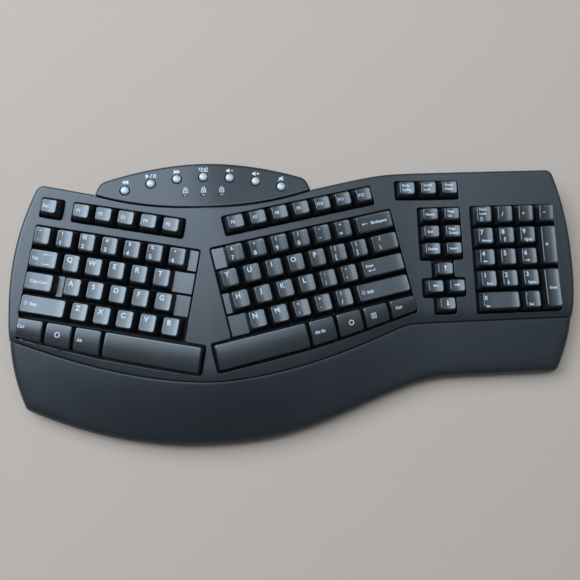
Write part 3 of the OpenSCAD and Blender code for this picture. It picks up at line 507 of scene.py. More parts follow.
LEFT_INNER = 6.85
RIGHT_INNER = -0.99
CAPS = {
    "escape_key": ("left", one(0.03, F_ROW, 0.98, F_DEEP)),
    "function_keys_left": ("left", run(1.48, 5, F_ROW, F_DEEP)),
    "number_keys_left": ("left", run(0, 6, 0) + one(6, 0, 1, 1, 0, LEFT_INNER - 6.5)),
    "tab_key": ("left", one(0.25, -1, 1.5)),
    "upper_keys_left": ("left", run(1.5, 4, -1) + one(5.5, -1, 1, 1, 0, LEFT_INNER - 6)),
    "caps_key": ("left", one(0.25, -2, 1.5, 1, 0, 0.25)),
    "home_keys_left": ("left", run(1.75, 4, -2) + one(5.75, -2, 1, 1, 0, LEFT_INNER - 6.25)),
    "shift_key_left": ("left", one(0.625, -3, 2.25)),
    "lower_keys_left": ("left", run(2.25, 5, -3)),
    "function_keys_right": ("right", run(0.34, 7, F_ROW, F_DEEP)),
    "number_keys_right": ("right", one(0, 0, 1, 1, -0.5 - RIGHT_INNER, 0) + run(1, 5, 0)),
    "backspace_key": ("right", one(6.5, 0, 2)),
    "upper_keys_right": ("right", run(-0.5, 7, -1) + one(6.75, -1, 1.5)),
    "home_keys_right": ("right", one(-0.25, -2, 1, 1, -0.75 - RIGHT_INNER, 0) + run(0.75, 5, -2)),
    "enter_key": ("right", one(6.375, -2, 2.25)),
    "lower_keys_right": ("right", one(0.25, -3, 1, 1, -0.25 - RIGHT_INNER, 0) + run(1.25, 4, -3)),
    "shift_key_right": ("right", one(6.125, -3, 2.75)),
    "system_keys": ("pad", run(-3.53, 3, F_ROW, F_DEEP)),
    "navigation_keys": ("pad", [k for v in (0.08, -0.73, -1.53) for k in run(-2.52, 2, v, NAV_DEEP)]),
    "arrow_keys": ("pad", one(-2, -2.45, 1, NAV_DEEP) + run(-2.5, 2, -3.25, NAV_DEEP)
                   + one(-2, -4.06, 1, NAV_DEEP)),
    "pad_keys": ("pad", run(0, 4, 0) + run(0, 3, -1) + run(0, 3, -2) + run(0, 3, -3) + one(2, -4, 1)),
    "pad_plus_key": ("pad", one(3, -1.5, 1, 2)),
    "pad_enter_key": ("pad", one(3, -3.5, 1, 2)),
    "pad_zero_key": ("pad", one(0.5, -4, 2)),
}
SLABS = {
    "control_key_left": ("left", -0.42, 0.88),
    "mark_key_left": ("left", 0.88, 2.16),
    "alt_key_left": ("left", 2.16, 3.46),
    "space_bar_left": ("left", 3.46, 7.8),
    "space_bar_right": ("right", -1.9, 2.3),
    "alt_key_right": ("right", 2.3, 3.58),
    "mark_key_right": ("right", 3.58, 4.86),
    "menu_key": ("right", 4.86, 6.14),
    "control_key_right": ("right", 6.14, 7.5),
}
# Front edge of the bottom row in each half, across and along
ROW_FRONT = {
    "left": ((-0.42, -4.46), (0.88, -4.57), (2.16, -4.66), (3.46, -4.73), (5.4, -4.77), (7.8, -4.77)),
    "right": ((-1.9, -4.77), (1.0, -4.77), (2.3, -4.76), (3.58, -4.69), (4.86, -4.59), (6.14, -4.46),
              (7.5, -4.33)),
}
# Deck openings, anticlockwise, in key pitches
F_LOW = 0.88
F_HIGH = 1.78
OPENINGS = {
    "left": (
        ((-0.5, F_LOW), (0.56, F_LOW), (0.56, F_HIGH), (-0.5, F_HIGH)),
        ((0.95, F_LOW), (6.01, F_LOW), (6.01, F_HIGH), (0.95, F_HIGH)),
        ((-0.54, -3.52), (-0.47, -3.52), (-0.47, -4.53), (0.88, -4.64), (2.16, -4.73), (3.46, -4.81),
         (5.4, -4.85), (7.84, -4.85), (7.84, -3.5), (6.88, -3.5), (6.88, 0.53), (-0.54, 0.53)),
    ),
    "right": (
        ((-0.19, F_LOW), (6.87, F_LOW), (6.87, F_HIGH), (-0.19, F_HIGH)),
        ((-1.94, -4.85), (1.0, -4.85), (2.3, -4.84), (3.58, -4.77), (4.86, -4.67), (6.14, -4.54),
         (7.54, -4.41), (7.54, 0.53), (-1.02, 0.53), (-1.02, -3.5), (-1.94, -3.5)),
    ),
    "pad": (
        ((-4.06, F_LOW), (-1, F_LOW), (-1, F_HIGH), (-4.06, F_HIGH)),
        ((-3.05, -1.97), (-2.53, -1.97), (-2.53, -2.8), (-3.03, -2.8), (-3.03, -3.7), (-2.53, -3.7),
         (-2.53, -4.5), (-1.47, -4.5), (-1.47, -3.7), (-0.97, -3.7), (-0.97, -2.8), (-1.47, -2.8),
         (-1.47, -1.97), (-0.99, -1.97), (-0.99, 0.52), (-3.05, 0.52)),
        ((-0.53, -4.53), (3.53, -4.53), (3.53, 0.53), (-0.53, 0.53)),
    ),
}
OPEN_ROUND = 2.1


def ring_points(hw, hd, r, nx, ny, nc):
    """A rounded rectangle, anticlockwise from the middle of its front left corner."""
    out = []
    half = nc // 2
    corners = ((-1, -1, 225, nx, 270), (1, -1, 270, ny, 360), (1, 1, 0, nx, 90), (-1, 1, 90, ny, 180))

    def on_arc(sx, sy, deg):
        a = math.radians(deg)
        return sx * (hw - r) + r * math.cos(a), sy * (hd - r) + r * math.sin(a)

    for c, (sx, sy, start, count, stop) in enumerate(corners):
        n = half if c == 0 else nc
        arc = [on_arc(sx, sy, start + (stop - start) * i / n) for i in range(n + 1)]
        tx, ty, tstart = corners[(c + 1) % 4][:3]
        nxt = on_arc(tx, ty, 180 if c == 3 else tstart)
        out += arc
        last = arc[-1]
        out += [(last[0] + (nxt[0] - last[0]) * i / count, last[1] + (nxt[1] - last[1]) * i / count)
                for i in range(1, count)]
    out += [on_arc(-1, -1, 180 + 45 * i / half) for i in range(half)]
    return np.array(out)


def lofted(rings, top, nx, ny, nc):
    """Closed form through rings of the same count, with a flat floor and a patch that follows top(x, y)."""
    count = len(rings[0])
    verts = [np.asarray(r, float) for r in rings]
    faces = [tuple(range(count))[::-1]]
    for k in range(len(rings) - 1):
        for i in range(count):
            j = (i + 1) % count
            faces.append((k * count + i, k * count + j, (k + 1) * count + j, (k + 1) * count + i))
    last = np.asarray(rings[-1], float)
    n = nx + nc
    m = ny + nc
    base = (len(rings) - 1) * count
    order = np.arange(count)
    front = order[:n + 1]
    right = order[n:n + m + 1]
    back = order[n + m:2 * n + m + 1][::-1]
    left = np.concatenate([order[2 * n + m:], order[:1]])[::-1]
    index = np.full((n + 1, m + 1), -1)
    index[:, 0] = base + front
    index[n, :] = base + right
    index[:, m] = base + back
    index[0, :] = base + left
    inner = []
    start = len(rings) * count
    for i in range(1, n):
        u = i / n
        for j in range(1, m):
            v = j / m
            p = ((1 - v) * last[front[i]] + v * last[back[i]] + (1 - u) * last[left[j]] + u * last[right[j]]
                 - (1 - u) * (1 - v) * last[front[0]] - u * (1 - v) * last[front[n]]
                 - (1 - u) * v * last[back[0]] - u * v * last[back[n]])
            index[i, j] = start + len(inner)
            inner.append((p[0], p[1], top(p[0], p[1])))
    if inner:
        verts.append(np.array(inner))
    for i in range(n):
        for j in range(m):
            faces.append((index[i, j], index[i + 1, j], index[i + 1, j + 1], index[i, j + 1]))
    return np.concatenate(verts), faces


def stacked(parts):
    verts = []
    faces = []
    base = 0
    for v, f in parts:
        verts.append(np.asarray(v, float))
        faces += [tuple(int(i) + base for i in face) for face in f]
        base += len(v)
    return np.concatenate(verts), faces


ROW_LEVEL = -1.2
LAST_ROW = -3.0
NUMBER_ROW_END = 0.5
LONG_KEY = 22.0
LONG_DISH_POWER = 5.0
CORNER_STEPS = 4


def row_lean(v, sizes):
    """Slope of a cap's top: the front rows lean to the back, the rear rows to the front."""
    return math.tan(sizes.row_lean * (ROW_LEVEL - max(v, LAST_ROW))) if v < NUMBER_ROW_END else 0.0


def cap_top(w, d, lean, sizes):
    """Half width, half depth and surface of a cap's dished top, in its own millimetres."""
    hx = w / 2 - sizes.side_lean / MM
    hy = d / 2 - sizes.front_lean / MM
    dish = sizes.dish / MM
    power = 2.0 if w < LONG_KEY else LONG_DISH_POWER

    def top(x, y):
        return -dish * (1 - min(1.0, abs(x) / hx) ** power) - lean * y

    return hx, hy, top


CAP_BACK = 0.85
CAP_FOOT = 0.55
CAP_WAIST = -5.2
CAP_FOOT_ROUND = 1.0
CAP_TOP_ROUND = 1.1


def cap_mesh(w, d, lean, sizes):
    """A dished keycap: a straight skirt, leaning sides, a rolled edge and a top hollow across its width."""
    hx, hy, top = cap_top(w, d, lean, sizes)
    roll = sizes.cap_edge / MM
    nx = 6 if w < LONG_KEY else 10
    ny = 5 if d < LONG_KEY else 9
    levels = [(SKIRT_LOW, 0.0, 0.0, 0.0), (SKIRT_LOW + CAP_FOOT, 0.0, 0.0, 0.0), (CAP_WAIST, 0.5, 0.0, 0.25),
              (-roll, 1.0, 0.0, 0.9), (-0.45 * roll, 1.0, 0.2 * roll, 1.0),
              (-0.12 * roll, 1.0, 0.55 * roll, 1.0), (0.0, 1.0, roll, 1.0)]
    rings = []
    for z, share, inward, follow in levels:
        hw = w / 2 + (hx - w / 2) * share - inward
        hd = d / 2 + (hy - d / 2) * share - inward
        r = CAP_FOOT_ROUND + CAP_TOP_ROUND * share - 0.5 * inward
        flat = ring_points(hw, hd, r, nx, ny, CORNER_STEPS)
        depth = np.array([top(x, y) for x, y in flat])
        rings.append(np.column_stack([flat[:, 0], flat[:, 1] + CAP_BACK * share, z + follow * depth]))
    return lofted(rings, top, nx, ny, CORNER_STEPS)


LEAST_ROUND = 0.15


def block_loft(hw, hd, low, high, r, edge, nx=3, ny=3):
    """A low block with rounded corners and a rolled upper edge."""
    rings = []
    for z, inward in ((low, 0.0), (high - edge, 0.0), (high - 0.3 * edge, 0.3 * edge), (high, edge)):
        flat = ring_points(hw - inward, hd - inward, max(r - inward, LEAST_ROUND), nx, ny, CORNER_STEPS)
        rings.append(np.column_stack([flat, np.full(len(flat), z)]))
    return lofted(rings, lambda x, y: high, nx, ny, CORNER_STEPS)


STEM_LOW = -15.8
STEM_W = 5.4
STEM_LAP = 0.5
STEM_ROUND = 0.5
STEM_EDGE = 0.4
LONG_STEM = 1.4
LONG_SLAB = 4.0
STEP_LAP = 1.0
STEP_INSET = 0.35
STEP_ROUND = 0.7
STEP_EDGE = 0.4


def moved(part, x, y, z=0.0):
    return part[0] + np.array([x, y, z]), part[1]


def stem_mesh():
    """A square stem under a key, from inside the cap down to its rounded foot."""
    half = STEM_W / 2
    verts, faces = block_loft(half, half, -SKIRT_LOW - STEM_LAP, -STEM_LOW, STEM_ROUND, STEM_EDGE, 1, 1)
    return verts * np.array([1, 1, -1]), [f[::-1] for f in faces]


def step_mesh(w, d, left, right):
    """The low step beside a key at the middle of the board."""
    reach = (left or right) * PITCH_U
    side = -1 if left else 1
    part = block_loft((reach + STEP_LAP) / 2, d / 2 - STEP_INSET, SKIRT_LOW, STEP_TOP, STEP_ROUND, STEP_EDGE)
    return moved(part, side * (w / 2 + reach / 2 - STEP_LAP / 2), 0)


def row_front(block, x):
    table = np.array(ROW_FRONT[block]) * PITCH_U
    return np.interp(x, table[:, 0], table[:, 1])


SLAB_BACK = 0.55
SLAB_TOP = -0.2
SLAB_POWER = 3.4
SLAB_REAR_FALL = 0.3
SLAB_REAR_POWER = 3
SLAB_HALF = 10.0
SLAB_PRINT_SIDE = 2.0
SLAB_PRINT_END = 1.5
# Levels of a slab: height, inset, corner rounding and whether it follows the barrel top
SLAB_LEVELS = ((SKIRT_LOW, 0.0, 1.2, False), (SKIRT_LOW + 0.6, 0.0, 1.2, False), (-1.3, 0.75, 1.8, True),
               (-0.6, 0.95, 1.8, True), (-0.18, 1.3, 1.7, True), (0.0, 1.9, 1.5, True))


def slab_top(block, sizes):
    """Barrel top of a bottom row key in its block's millimetres: high at the back, sloping to the front."""
    back = LOW_ROW * PITCH_U - KEY_GAP / 2
    drop = sizes.slab_fall / MM

    def top(x, y):
        s = (back - y) / (back - float(row_front(block, x)))
        s = max(0.0, min(1.2, s))
        return SLAB_TOP - drop * s ** SLAB_POWER - SLAB_REAR_FALL * abs(1 - s) ** SLAB_REAR_POWER

    return back, top


def slab_mesh(block, u0, u1, sizes):
    """A broad bottom row key with a barrel top, whose front edge follows the row's curve."""
    x0 = u0 * PITCH_U + KEY_GAP / 2
    x1 = u1 * PITCH_U - KEY_GAP / 2
    back, top = slab_top(block, sizes)
    hw = (x1 - x0) / 2
    mid = (x0 + x1) / 2
    nx = 8 if u1 - u0 < LONG_SLAB else 18
    ny = 8
    hd = SLAB_HALF
    rings = []
    for z, inward, r, follow in SLAB_LEVELS:
        flat = ring_points(hw - inward, hd - inward, r, nx, ny, CORNER_STEPS)
        x = mid + flat[:, 0]
        low = row_front(block, x) + KEY_GAP / 2
        rear = SLAB_BACK * inward * (hd + flat[:, 1]) / (2 * hd)
        y = back - (back - low) * (hd - flat[:, 1] - rear) / (2 * hd)
        lift = np.array([top(a, b) for a, b in zip(x, y)])
        rings.append(np.column_stack([x, y, z + lift if follow else np.full(len(x), z)]))
    return lofted(rings, top, nx, ny, CORNER_STEPS)


# Flat marks: strokes and filled shapes in a unit square about the origin

def stroke(points, width, loop=False):
    p = np.asarray(points, float)
    n = len(p)
    side = []
    for i in range(n):
        a = p[i] - p[i - 1] if loop or i > 0 else p[1] - p[0]
        b = p[(i + 1) % n] - p[i] if loop or i < n - 1 else p[-1] - p[-2]
        a = a / np.hypot(*a)
        b = b / np.hypot(*b)
        n1 = np.array([-a[1], a[0]])
        mid = n1 + np.array([-b[1], b[0]])
        mid = mid / max(np.hypot(*mid), TINY)
        side.append(mid / max(MITRE, mid @ n1) * width / 2)
    side = np.array(side)
    verts = np.concatenate([p - side, p + side])
    last = n if loop else n - 1
    return verts, [(i, (i + 1) % n, n + (i + 1) % n, n + i) for i in range(last)]


def filled(points):
    p = np.asarray(points, float)
    area = np.sum(p[:, 0] * np.roll(p[:, 1], -1) - np.roll(p[:, 0], -1) * p[:, 1])
    order = tuple(range(len(p)))
    return p, [order if area > 0 else order[::-1]]


def circle_points(x, y, r, start=0, stop=360, n=16):
    a = np.radians(np.linspace(start, stop, n))
    return np.column_stack([x + r * np.cos(a), y + r * np.sin(a)])


def merge_flat(*shapes):
    return stacked(shapes)


def turned(shape, degrees):
    a = math.radians(degrees)
    m = np.array([[math.cos(a), -math.sin(a)], [math.sin(a), math.cos(a)]])
    return shape[0] @ m.T, shape[1]


def placed(shape, x, y, size=1.0):
    return shape[0] * size + np.array([x, y]), shape[1]


def arrow_mark(length=1.0):
    return merge_flat(stroke([(-length / 2, 0), (length / 2 - 0.3, 0)], 0.16),
                      filled([(length / 2 - 0.4, -0.26), (length / 2, 0), (length / 2 - 0.4, 0.26)]))


def up_mark():
    return stroke([(0, 0.5), (0.48, 0.0), (0.24, 0.0), (0.24, -0.46), (-0.24, -0.46), (-0.24, 0.0),
                   (-0.48, 0.0)], 0.11, True)


def tab_mark():
    low = merge_flat(arrow_mark(1.9), stroke([(1.0, -0.3), (1.0, 0.3)], 0.16))
    return merge_flat(placed(turned(low, 180), 0.2, 1.3), placed(low, -0.2, -1.3))


def enter_mark():
    return merge_flat(stroke([(1.0, 0.4), (1.0, -0.1), (-0.6, -0.1)], 0.17),
                      filled([(-0.5, -0.42), (-1.1, -0.1), (-0.5, 0.22)]))


def ring_mark():
    return stroke(circle_points(0, 0, 0.42, 0, 345, 24), 0.15, True)


def menu_mark():
    parts = [stroke([(-0.5, -0.5), (0.5, -0.5), (0.5, 0.5), (-0.5, 0.5)], 0.13, True)]
    parts += [stroke([(-0.26, y), (0.26, y)], 0.11) for y in (-0.22, 0.0, 0.22)]
    return merge_flat(*parts)


def padlock_mark(sign):
    body = stroke([(-0.36, -0.5), (0.36, -0.5), (0.36, 0.06), (-0.36, 0.06)], 0.11, True)
    arch = circle_points(0, 0.26, 0.24, 180, 0, 9)
    bow = stroke(np.concatenate([[(-0.24, 0.06)], arch, [(0.24, 0.06)]]), 0.11)
    signs = {
        "one": [stroke([(-0.09, -0.13), (0.0, -0.06), (0.0, -0.4)], 0.09)],
        "cap": [stroke([(-0.15, -0.4), (0.0, -0.06), (0.15, -0.4)], 0.08),
                stroke([(-0.08, -0.29), (0.08, -0.29)], 0.07)],
        "scroll": [stroke([(0.0, -0.05), (0.0, -0.3)], 0.09),
                   filled([(-0.12, -0.27), (0.12, -0.27), (0.0, -0.42)])],
        "none": [],
    }
    return merge_flat(body, bow, *signs[sign])


def media_mark(kind):
    """A media button's mark, in millimetres."""
    wedge = filled([(-1.5, -2.1), (1.5, 0.0), (-1.5, 2.1)])
    back = turned(wedge, 180)
    speaker = merge_flat(filled([(-2.9, -0.8), (-1.9, -0.8), (-1.9, 0.8), (-2.9, 0.8)]),
                         filled([(-1.9, -0.8), (0.0, -2.1), (0.0, 2.1), (-1.9, 0.8)]))
    if kind == "media_rewind":
        return merge_flat(placed(back, -1.3, 0), placed(back, 1.2, 0))
    if kind == "media_forward":
        return merge_flat(placed(wedge, -1.2, 0), placed(wedge, 1.3, 0))
    if kind == "media_play":
        bars = [stroke([(x, -1.7), (x, 1.7)], 0.8) for x in (2.5, 4.0)]
        return merge_flat(placed(wedge, -2.9, 0), stroke([(-0.5, -2.0), (0.9, 2.0)], 0.6), *bars)
    if kind == "media_link":
        screen = stroke([(-3.5, -0.1), (-0.9, -0.1), (-0.9, 1.7), (-3.5, 1.7)], 0.55, True)
        page = stroke([(-1.6, -1.7), (1.1, -1.7), (1.1, 0.9), (-0.3, 0.9)], 0.55)
        tall = stroke([(1.9, -1.6), (3.4, -1.6), (3.4, 1.7), (1.9, 1.7)], 0.55, True)
        return merge_flat(screen, page, tall, stroke([(-1.6, -1.7), (-1.6, -0.6)], 0.55))
    if kind == "media_mute":
        return merge_flat(placed(speaker, 1.2, 0), stroke([(-2.2, -2.0), (2.4, 2.0)], 0.6),
                          stroke([(1.4, -1.4), (2.6, -0.4)], 0.6))
    sign = [stroke([(0.9, 0), (3.3, 0)], 0.7)]
    if kind == "media_louder":
        sign.append(stroke([(2.1, -1.2), (2.1, 1.2)], 0.7))
    return merge_flat(speaker, *sign)


ICONS = {
    "@left": lambda: turned(arrow_mark(1.0), 180), "@right": lambda: arrow_mark(1.0),
    "@up": lambda: turned(arrow_mark(1.0), 90), "@down": lambda: turned(arrow_mark(1.0), -90),
    "@back": lambda: turned(arrow_mark(1.3), 180), "@shift": up_mark, "@tab": tab_mark, "@enter": enter_mark,
    "@ring": ring_mark, "@menu": menu_mark, "@lock": lambda: padlock_mark("none"),
    "@bar": lambda: stroke([(-0.5, 0), (0.5, 0)], 0.18),
}


# Legends: text or mark, place across and along the top from -1 to 1, height in millimetres, and "l"
# where the place is the left end of the word and not its middle

def letter(text):
    return [(text, -0.27, 0.42, 4.3)]


def pair(text):
    upper, lower = text.split(" ")
    return [(upper, -0.36, 0.56, 2.9), (lower, -0.46, -0.44, 3.7)]


def small(text):
    return [(text, -0.36, 0.02, 2.8)]


def lines(text, x, size=2.4, step=0.66):
    return [(w, x, 0.4 - step * i, size, "l") for i, w in enumerate(text.split("/"))]


def pad_pair(text):
    digit, word = text.split(" ")
    if word.startswith("@"):
        return [(digit, -0.5, 0.44, 4.3), (word, -0.3, -0.5, 4.4)]
    return [(digit, -0.5, 0.44, 4.3), (word, 0.02, -0.56, 2.3)]


LEGENDS = {
    "escape_key": [small("Esc")],
    "function_keys_left": [small("F%d" % i) for i in range(1, 6)],
    "number_keys_left": [pair(t) for t in ("~ `", "! 1", "@ 2", "# 3", "$ 4", "% 5", "^ 6")],
    "tab_key": [[("Tab", -0.62, 0.02, 2.5), ("@tab", 0.22, 0.0, 3.1)]],
    "upper_keys_left": [letter(t) for t in "QWERT"],
    "caps_key": [[("Caps Lock", 0.0, 0.04, 2.5)]],
    "home_keys_left": [letter(t) for t in "ASDFG"],
    "shift_key_left": [[("@shift", -0.78, 0.1, 3.2), ("Shift", -0.44, 0.04, 2.5)]],
    "lower_keys_left": [letter(t) for t in "ZXCVB"],
    "control_key_left": [[("Ctrl", -0.66, 0.26, 2.6)]],
    "mark_key_left": [[("@ring", -0.04, 0.06, 4.6)]],
    "alt_key_left": [[("Alt", -0.58, 0.0, 2.6)]],
    "function_keys_right": [small("F%d" % i) for i in range(6, 13)],
    "number_keys_right": [pair(t) for t in ("& 7", "* 8", "( 9", ") 0", "_ -", "+ =")],
    "backspace_key": [[("@back", -0.58, 0.0, 4.0), ("Backspace", 0.24, 0.02, 2.6)]],
    "upper_keys_right": [letter(t) for t in "YUIOP"] + [pair(t) for t in ("{ [", "} ]", "| \\")],
    "home_keys_right": [letter(t) for t in "HJKL"] + [pair(t) for t in (": ;", "\" '")],
    "enter_key": [[("Enter", -0.64, 0.3, 2.4), ("@enter", -0.6, -0.24, 3.0)]],
    "lower_keys_right": [letter(t) for t in "NM"] + [pair(t) for t in ("< ,", "> .", "? /")],
    "shift_key_right": [[("@shift", -0.8, 0.0, 3.2), ("Shift", -0.53, -0.04, 2.5)]],
    "alt_key_right": [[("Alt Gr", -0.3, 0.0, 2.6)]],
    "mark_key_right": [[("@ring", 0.06, 0.0, 4.6)]],
    "menu_key": [[("@menu", -0.3, 0.0, 3.9)]],
    "control_key_right": [[("Ctrl", -0.44, 0.04, 2.6)]],
    "system_keys": [lines(t, -0.66, 2.4, 0.62) for t in ("PrtSc/SysRq", "Scroll/Lock", "Pause/Break")],
    "navigation_keys": [[("Home", -0.06, 0.0, 2.3)], lines("Page/Up", -0.56), [("End", -0.2, 0.0, 2.3)],
                        lines("Page/Down", -0.56), [("Delete", -0.02, 0.0, 2.3)],
                        [("Insert", -0.06, 0.0, 2.3)]],
    "arrow_keys": [[(t, -0.02, 0.08, 5.0)] for t in ("@up", "@left", "@right", "@down")],
    "pad_keys": [[("Num", -0.62, 0.62, 2.4, "l"), ("Lock", -0.62, 0.12, 2.4, "l"),
                  ("@lock", -0.4, -0.52, 3.2)],
                 [("/", -0.36, 0.0, 3.8)], [("*", -0.36, 0.0, 3.4)], [("@bar", -0.36, 0.06, 2.8)],
                 pad_pair("7 Home"), pad_pair("8 @up"), pad_pair("9 PgUp"), pad_pair("4 @left"),
                 [("5", -0.46, 0.44, 4.3)], pad_pair("6 @right"), pad_pair("1 End"), pad_pair("2 @down"),
                 pad_pair("3 PgDn"), [(".", -0.7, 0.6, 3.4), ("Del", -0.3, -0.6, 2.2)]],
    "pad_plus_key": [[("+", -0.36, 0.02, 4.0)]],
    "pad_enter_key": [[("Enter", 0.04, 0.0, 2.3)]],
    "pad_zero_key": [[("0", -0.84, 0.34, 3.9), ("Ins", -0.76, -0.62, 2.2)]],
}
# The key of each group that has a raised bar, the bar's block and its place along the top
HOMING = {"home_keys_left": 3, "home_keys_right": 1, "pad_keys": 8}
HOMING_BAR = (1.9, 0.4, -0.8, 0.5, 0.38, 0.2)
HOMING_AT = -0.72
LEGEND_BOLD = 0.024
LEGEND_LIFT = 0.05


class Lettering:
    """Cuts flat text and marks, one shape for each word, with its middle on the line y = 0."""

    def __init__(self):
        self.kept = {}
        self.cap = None

    def text(self, body):
        curve = bpy.data.curves.new("legend", "FONT")
        curve.body = body
        curve.size = 1.0
        curve.resolution_u = 3
        curve.offset = LEGEND_BOLD
        holder = bpy.data.objects.new("legend", curve)
        mesh = bpy.data.meshes.new_from_object(holder)
        verts = np.array([v.co[:2] for v in mesh.vertices]).reshape(-1, 2)
        faces = [tuple(p.vertices) for p in mesh.polygons]
        bpy.data.objects.remove(holder)
        bpy.data.curves.remove(curve)
        bpy.data.meshes.remove(mesh)
        if not len(verts):
            raise RuntimeError("no outline for legend " + body)
        return verts, faces

    def shape(self, body):
        if body not in self.kept:
            if self.cap is None:
                probe = self.text("H")[0]
                self.cap = probe[:, 1].max() - probe[:, 1].min()
            if body in ICONS:
                self.kept[body] = ICONS[body]()
            else:
                verts, faces = self.text(body)
                verts = verts / self.cap
                mid = 0.5 if body[0].isalnum() else (verts[:, 1].max() + verts[:, 1].min()) / 2
                self.kept[body] = (verts - np.array([0, mid]), faces)
        return self.kept[body]

    def put(self, body, x, y, size, anchor=""):
        verts, faces = self.shape(body)
        verts = verts * size
        lo = verts[:, 0].min()
        hi = verts[:, 0].max()
        shift = -lo if anchor == "l" else -(lo + hi) / 2
        return verts + np.array([x + shift, y]), faces


LETTERING = Lettering()


class Wire:
    """A shader value that takes part in Python expressions."""

    def __init__(self, tree, socket):
        self.tree = tree
        self.socket = socket

    def maths(self, operation, a, b):
        node = self.tree.nodes.new("ShaderNodeMath")
        node.operation = operation
        for socket, value in zip(node.inputs, (a, b)):
            if isinstance(value, Wire):
                self.tree.links.new(value.socket, socket)
            else:
                socket.default_value = value
        return Wire(self.tree, node.outputs[0])

    def __add__(self, other):
        return self.maths("ADD", self, other)

    def __radd__(self, other):
        return self.maths("ADD", other, self)

    def __sub__(self, other):
        return self.maths("SUBTRACT", self, other)

    def __rsub__(self, other):
        return self.maths("SUBTRACT", other, self)

    def __mul__(self, other):
        return self.maths("MULTIPLY", self, other)

    def __gt__(self, other):
        return self.maths("GREATER_THAN", self, other)


class Shading:
    """A shader tree in the making. One method adds any node."""

    def __init__(self, owner):
        owner.use_nodes = True
        self.tree = owner.node_tree
        self.tree.nodes.clear()

    def add(self, kind, options, sockets, output=0):
        node = self.tree.nodes.new(kind)
        for key, value in options.items():
            setattr(node, key, value)
        for key, value in sockets.items():
            if isinstance(value, Wire):
                self.tree.links.new(value.socket, node.inputs[key])
            else:
                node.inputs[key].default_value = value
        return None if output is None else Wire(self.tree, node.outputs[output])


class Finish(Shading):
    """A material in the making, on object coordinates; surface() sets the shader."""

    def __init__(self, name):
        self.material = bpy.data.materials.new(name)
        super().__init__(self.material)
        self.spot = self.add("ShaderNodeTexCoord", {}, {}, "Object")

    def noise(self, scale, detail=2.0, rough=0.5, where=None):
        return self.add("ShaderNodeTexNoise", {"noise_dimensions": "3D"},
                        {"Vector": where or self.spot, "Scale": scale, "Detail": detail,
                         "Roughness": rough}, "Fac")

    def blend(self, amount, a, b):
        return self.add("ShaderNodeMix", {"data_type": "RGBA"}, {0: amount, 6: a, 7: b}, 2)

    def ramp(self, value, low, high):
        return self.add("ShaderNodeMapRange", {"clamp": True},
                        {"Value": value, "From Min": low, "From Max": high})

    def bump(self, height, strength, distance):
        return self.add("ShaderNodeBump", {},
                        {"Height": height, "Strength": strength, "Distance": distance}, "Normal")

    def surface(self, sockets):
        shader = self.add("ShaderNodeBsdfPrincipled", {}, sockets, "BSDF")
        self.add("ShaderNodeOutputMaterial", {}, {"Surface": shader}, None)
        return self.material


def shade(colour, factor=1.0):
    return tuple(min(1.0, c * factor) for c in colour[:3]) + (1.0,)


def moulded_plastic(name, colour, rough, gloss, grain=2600.0, depth=0.00003, strength=0.35, ior=1.5):
    """Textured moulding: fine grain, faint cloudy colour and a little dust."""
    f = Finish(name)
    cloud = f.noise(38.0, 3.0)
    fine = f.noise(grain, 2.0, 0.6)
    dust = f.ramp(f.noise(900.0, 2.0, 0.7), 0.71, 0.78) * f.ramp(f.noise(60.0, 2.0), 0.42, 0.7)
    tone = f.blend(cloud, shade(colour, 0.88), shade(colour, 1.14))
    tone = f.blend(dust * 0.35, tone, (0.30, 0.30, 0.29, 1.0))
    return f.surface({"Base Color": tone, "Roughness": rough + (cloud - 0.5) * 0.08 + (fine - 0.5) * 0.06,
                      "Specular IOR Level": gloss, "IOR": ior, "Normal": f.bump(fine, strength, depth)})


def printed_white(name, colour):
    """Printed legend paint, a little worn."""
    f = Finish(name)
    worn = f.ramp(f.noise(1400.0, 3.0, 0.6), 0.62, 0.8)
    tone = f.blend(worn * 0.4, shade(colour), (0.28, 0.29, 0.31, 1.0))
    return f.surface({"Base Color": tone, "Roughness": 0.5 + f.noise(2200.0) * 0.12})


def satin_silver(name, colour):
    """Sprayed silver: metal flake under a thin clear coat."""
    f = Finish(name)
    flake = f.noise(5200.0, 1.0, 0.4)
    smear = f.noise(220.0, 3.0)
    tone = f.blend(flake, shade(colour, 0.86), shade(colour, 1.08))
    return f.surface({"Base Color": tone, "Metallic": 0.45 + (flake - 0.5) * 0.1,
                      "Roughness": 0.42 + (smear - 0.5) * 0.14, "Coat Weight": 0.2 + (smear - 0.5) * 0.1,
                      "Normal": f.bump(flake, 0.12, 0.00001)})


def rolled_metal(name, colour, rough, along):
    """Rolled or plated metal with fine lines along one axis."""
    f = Finish(name)
    drawn = [400.0, 400.0, 400.0]
    drawn[along] = 18.0
    place = f.add("ShaderNodeMapping", {}, {"Vector": f.spot, "Scale": tuple(drawn)}, "Vector")
    line = f.noise(6.0, 4.0, 0.6, place)
    spot = f.noise(90.0, 3.0)
    tone = f.blend(spot, shade(colour, 0.85), shade(colour, 1.1))
    return f.surface({"Base Color": tone, "Metallic": 0.95 - (spot > 0.72) * 0.1,
                      "Roughness": rough + (line - 0.5) * 0.16, "Normal": f.bump(line, 0.15, 0.00002)})


def soft_rubber(name, colour):
    """Dull rubber that holds dust."""
    f = Finish(name)
    fine = f.noise(3400.0, 2.0, 0.6)
    dusty = f.noise(70.0, 3.0)
    tone = f.blend(f.ramp(dusty, 0.4, 0.75), shade(colour), shade(colour, 1.7))
    return f.surface({"Base Color": tone, "Roughness": 0.78 + (dusty - 0.5) * 0.12,
                      "Normal": f.bump(fine, 0.3, 0.00004)})


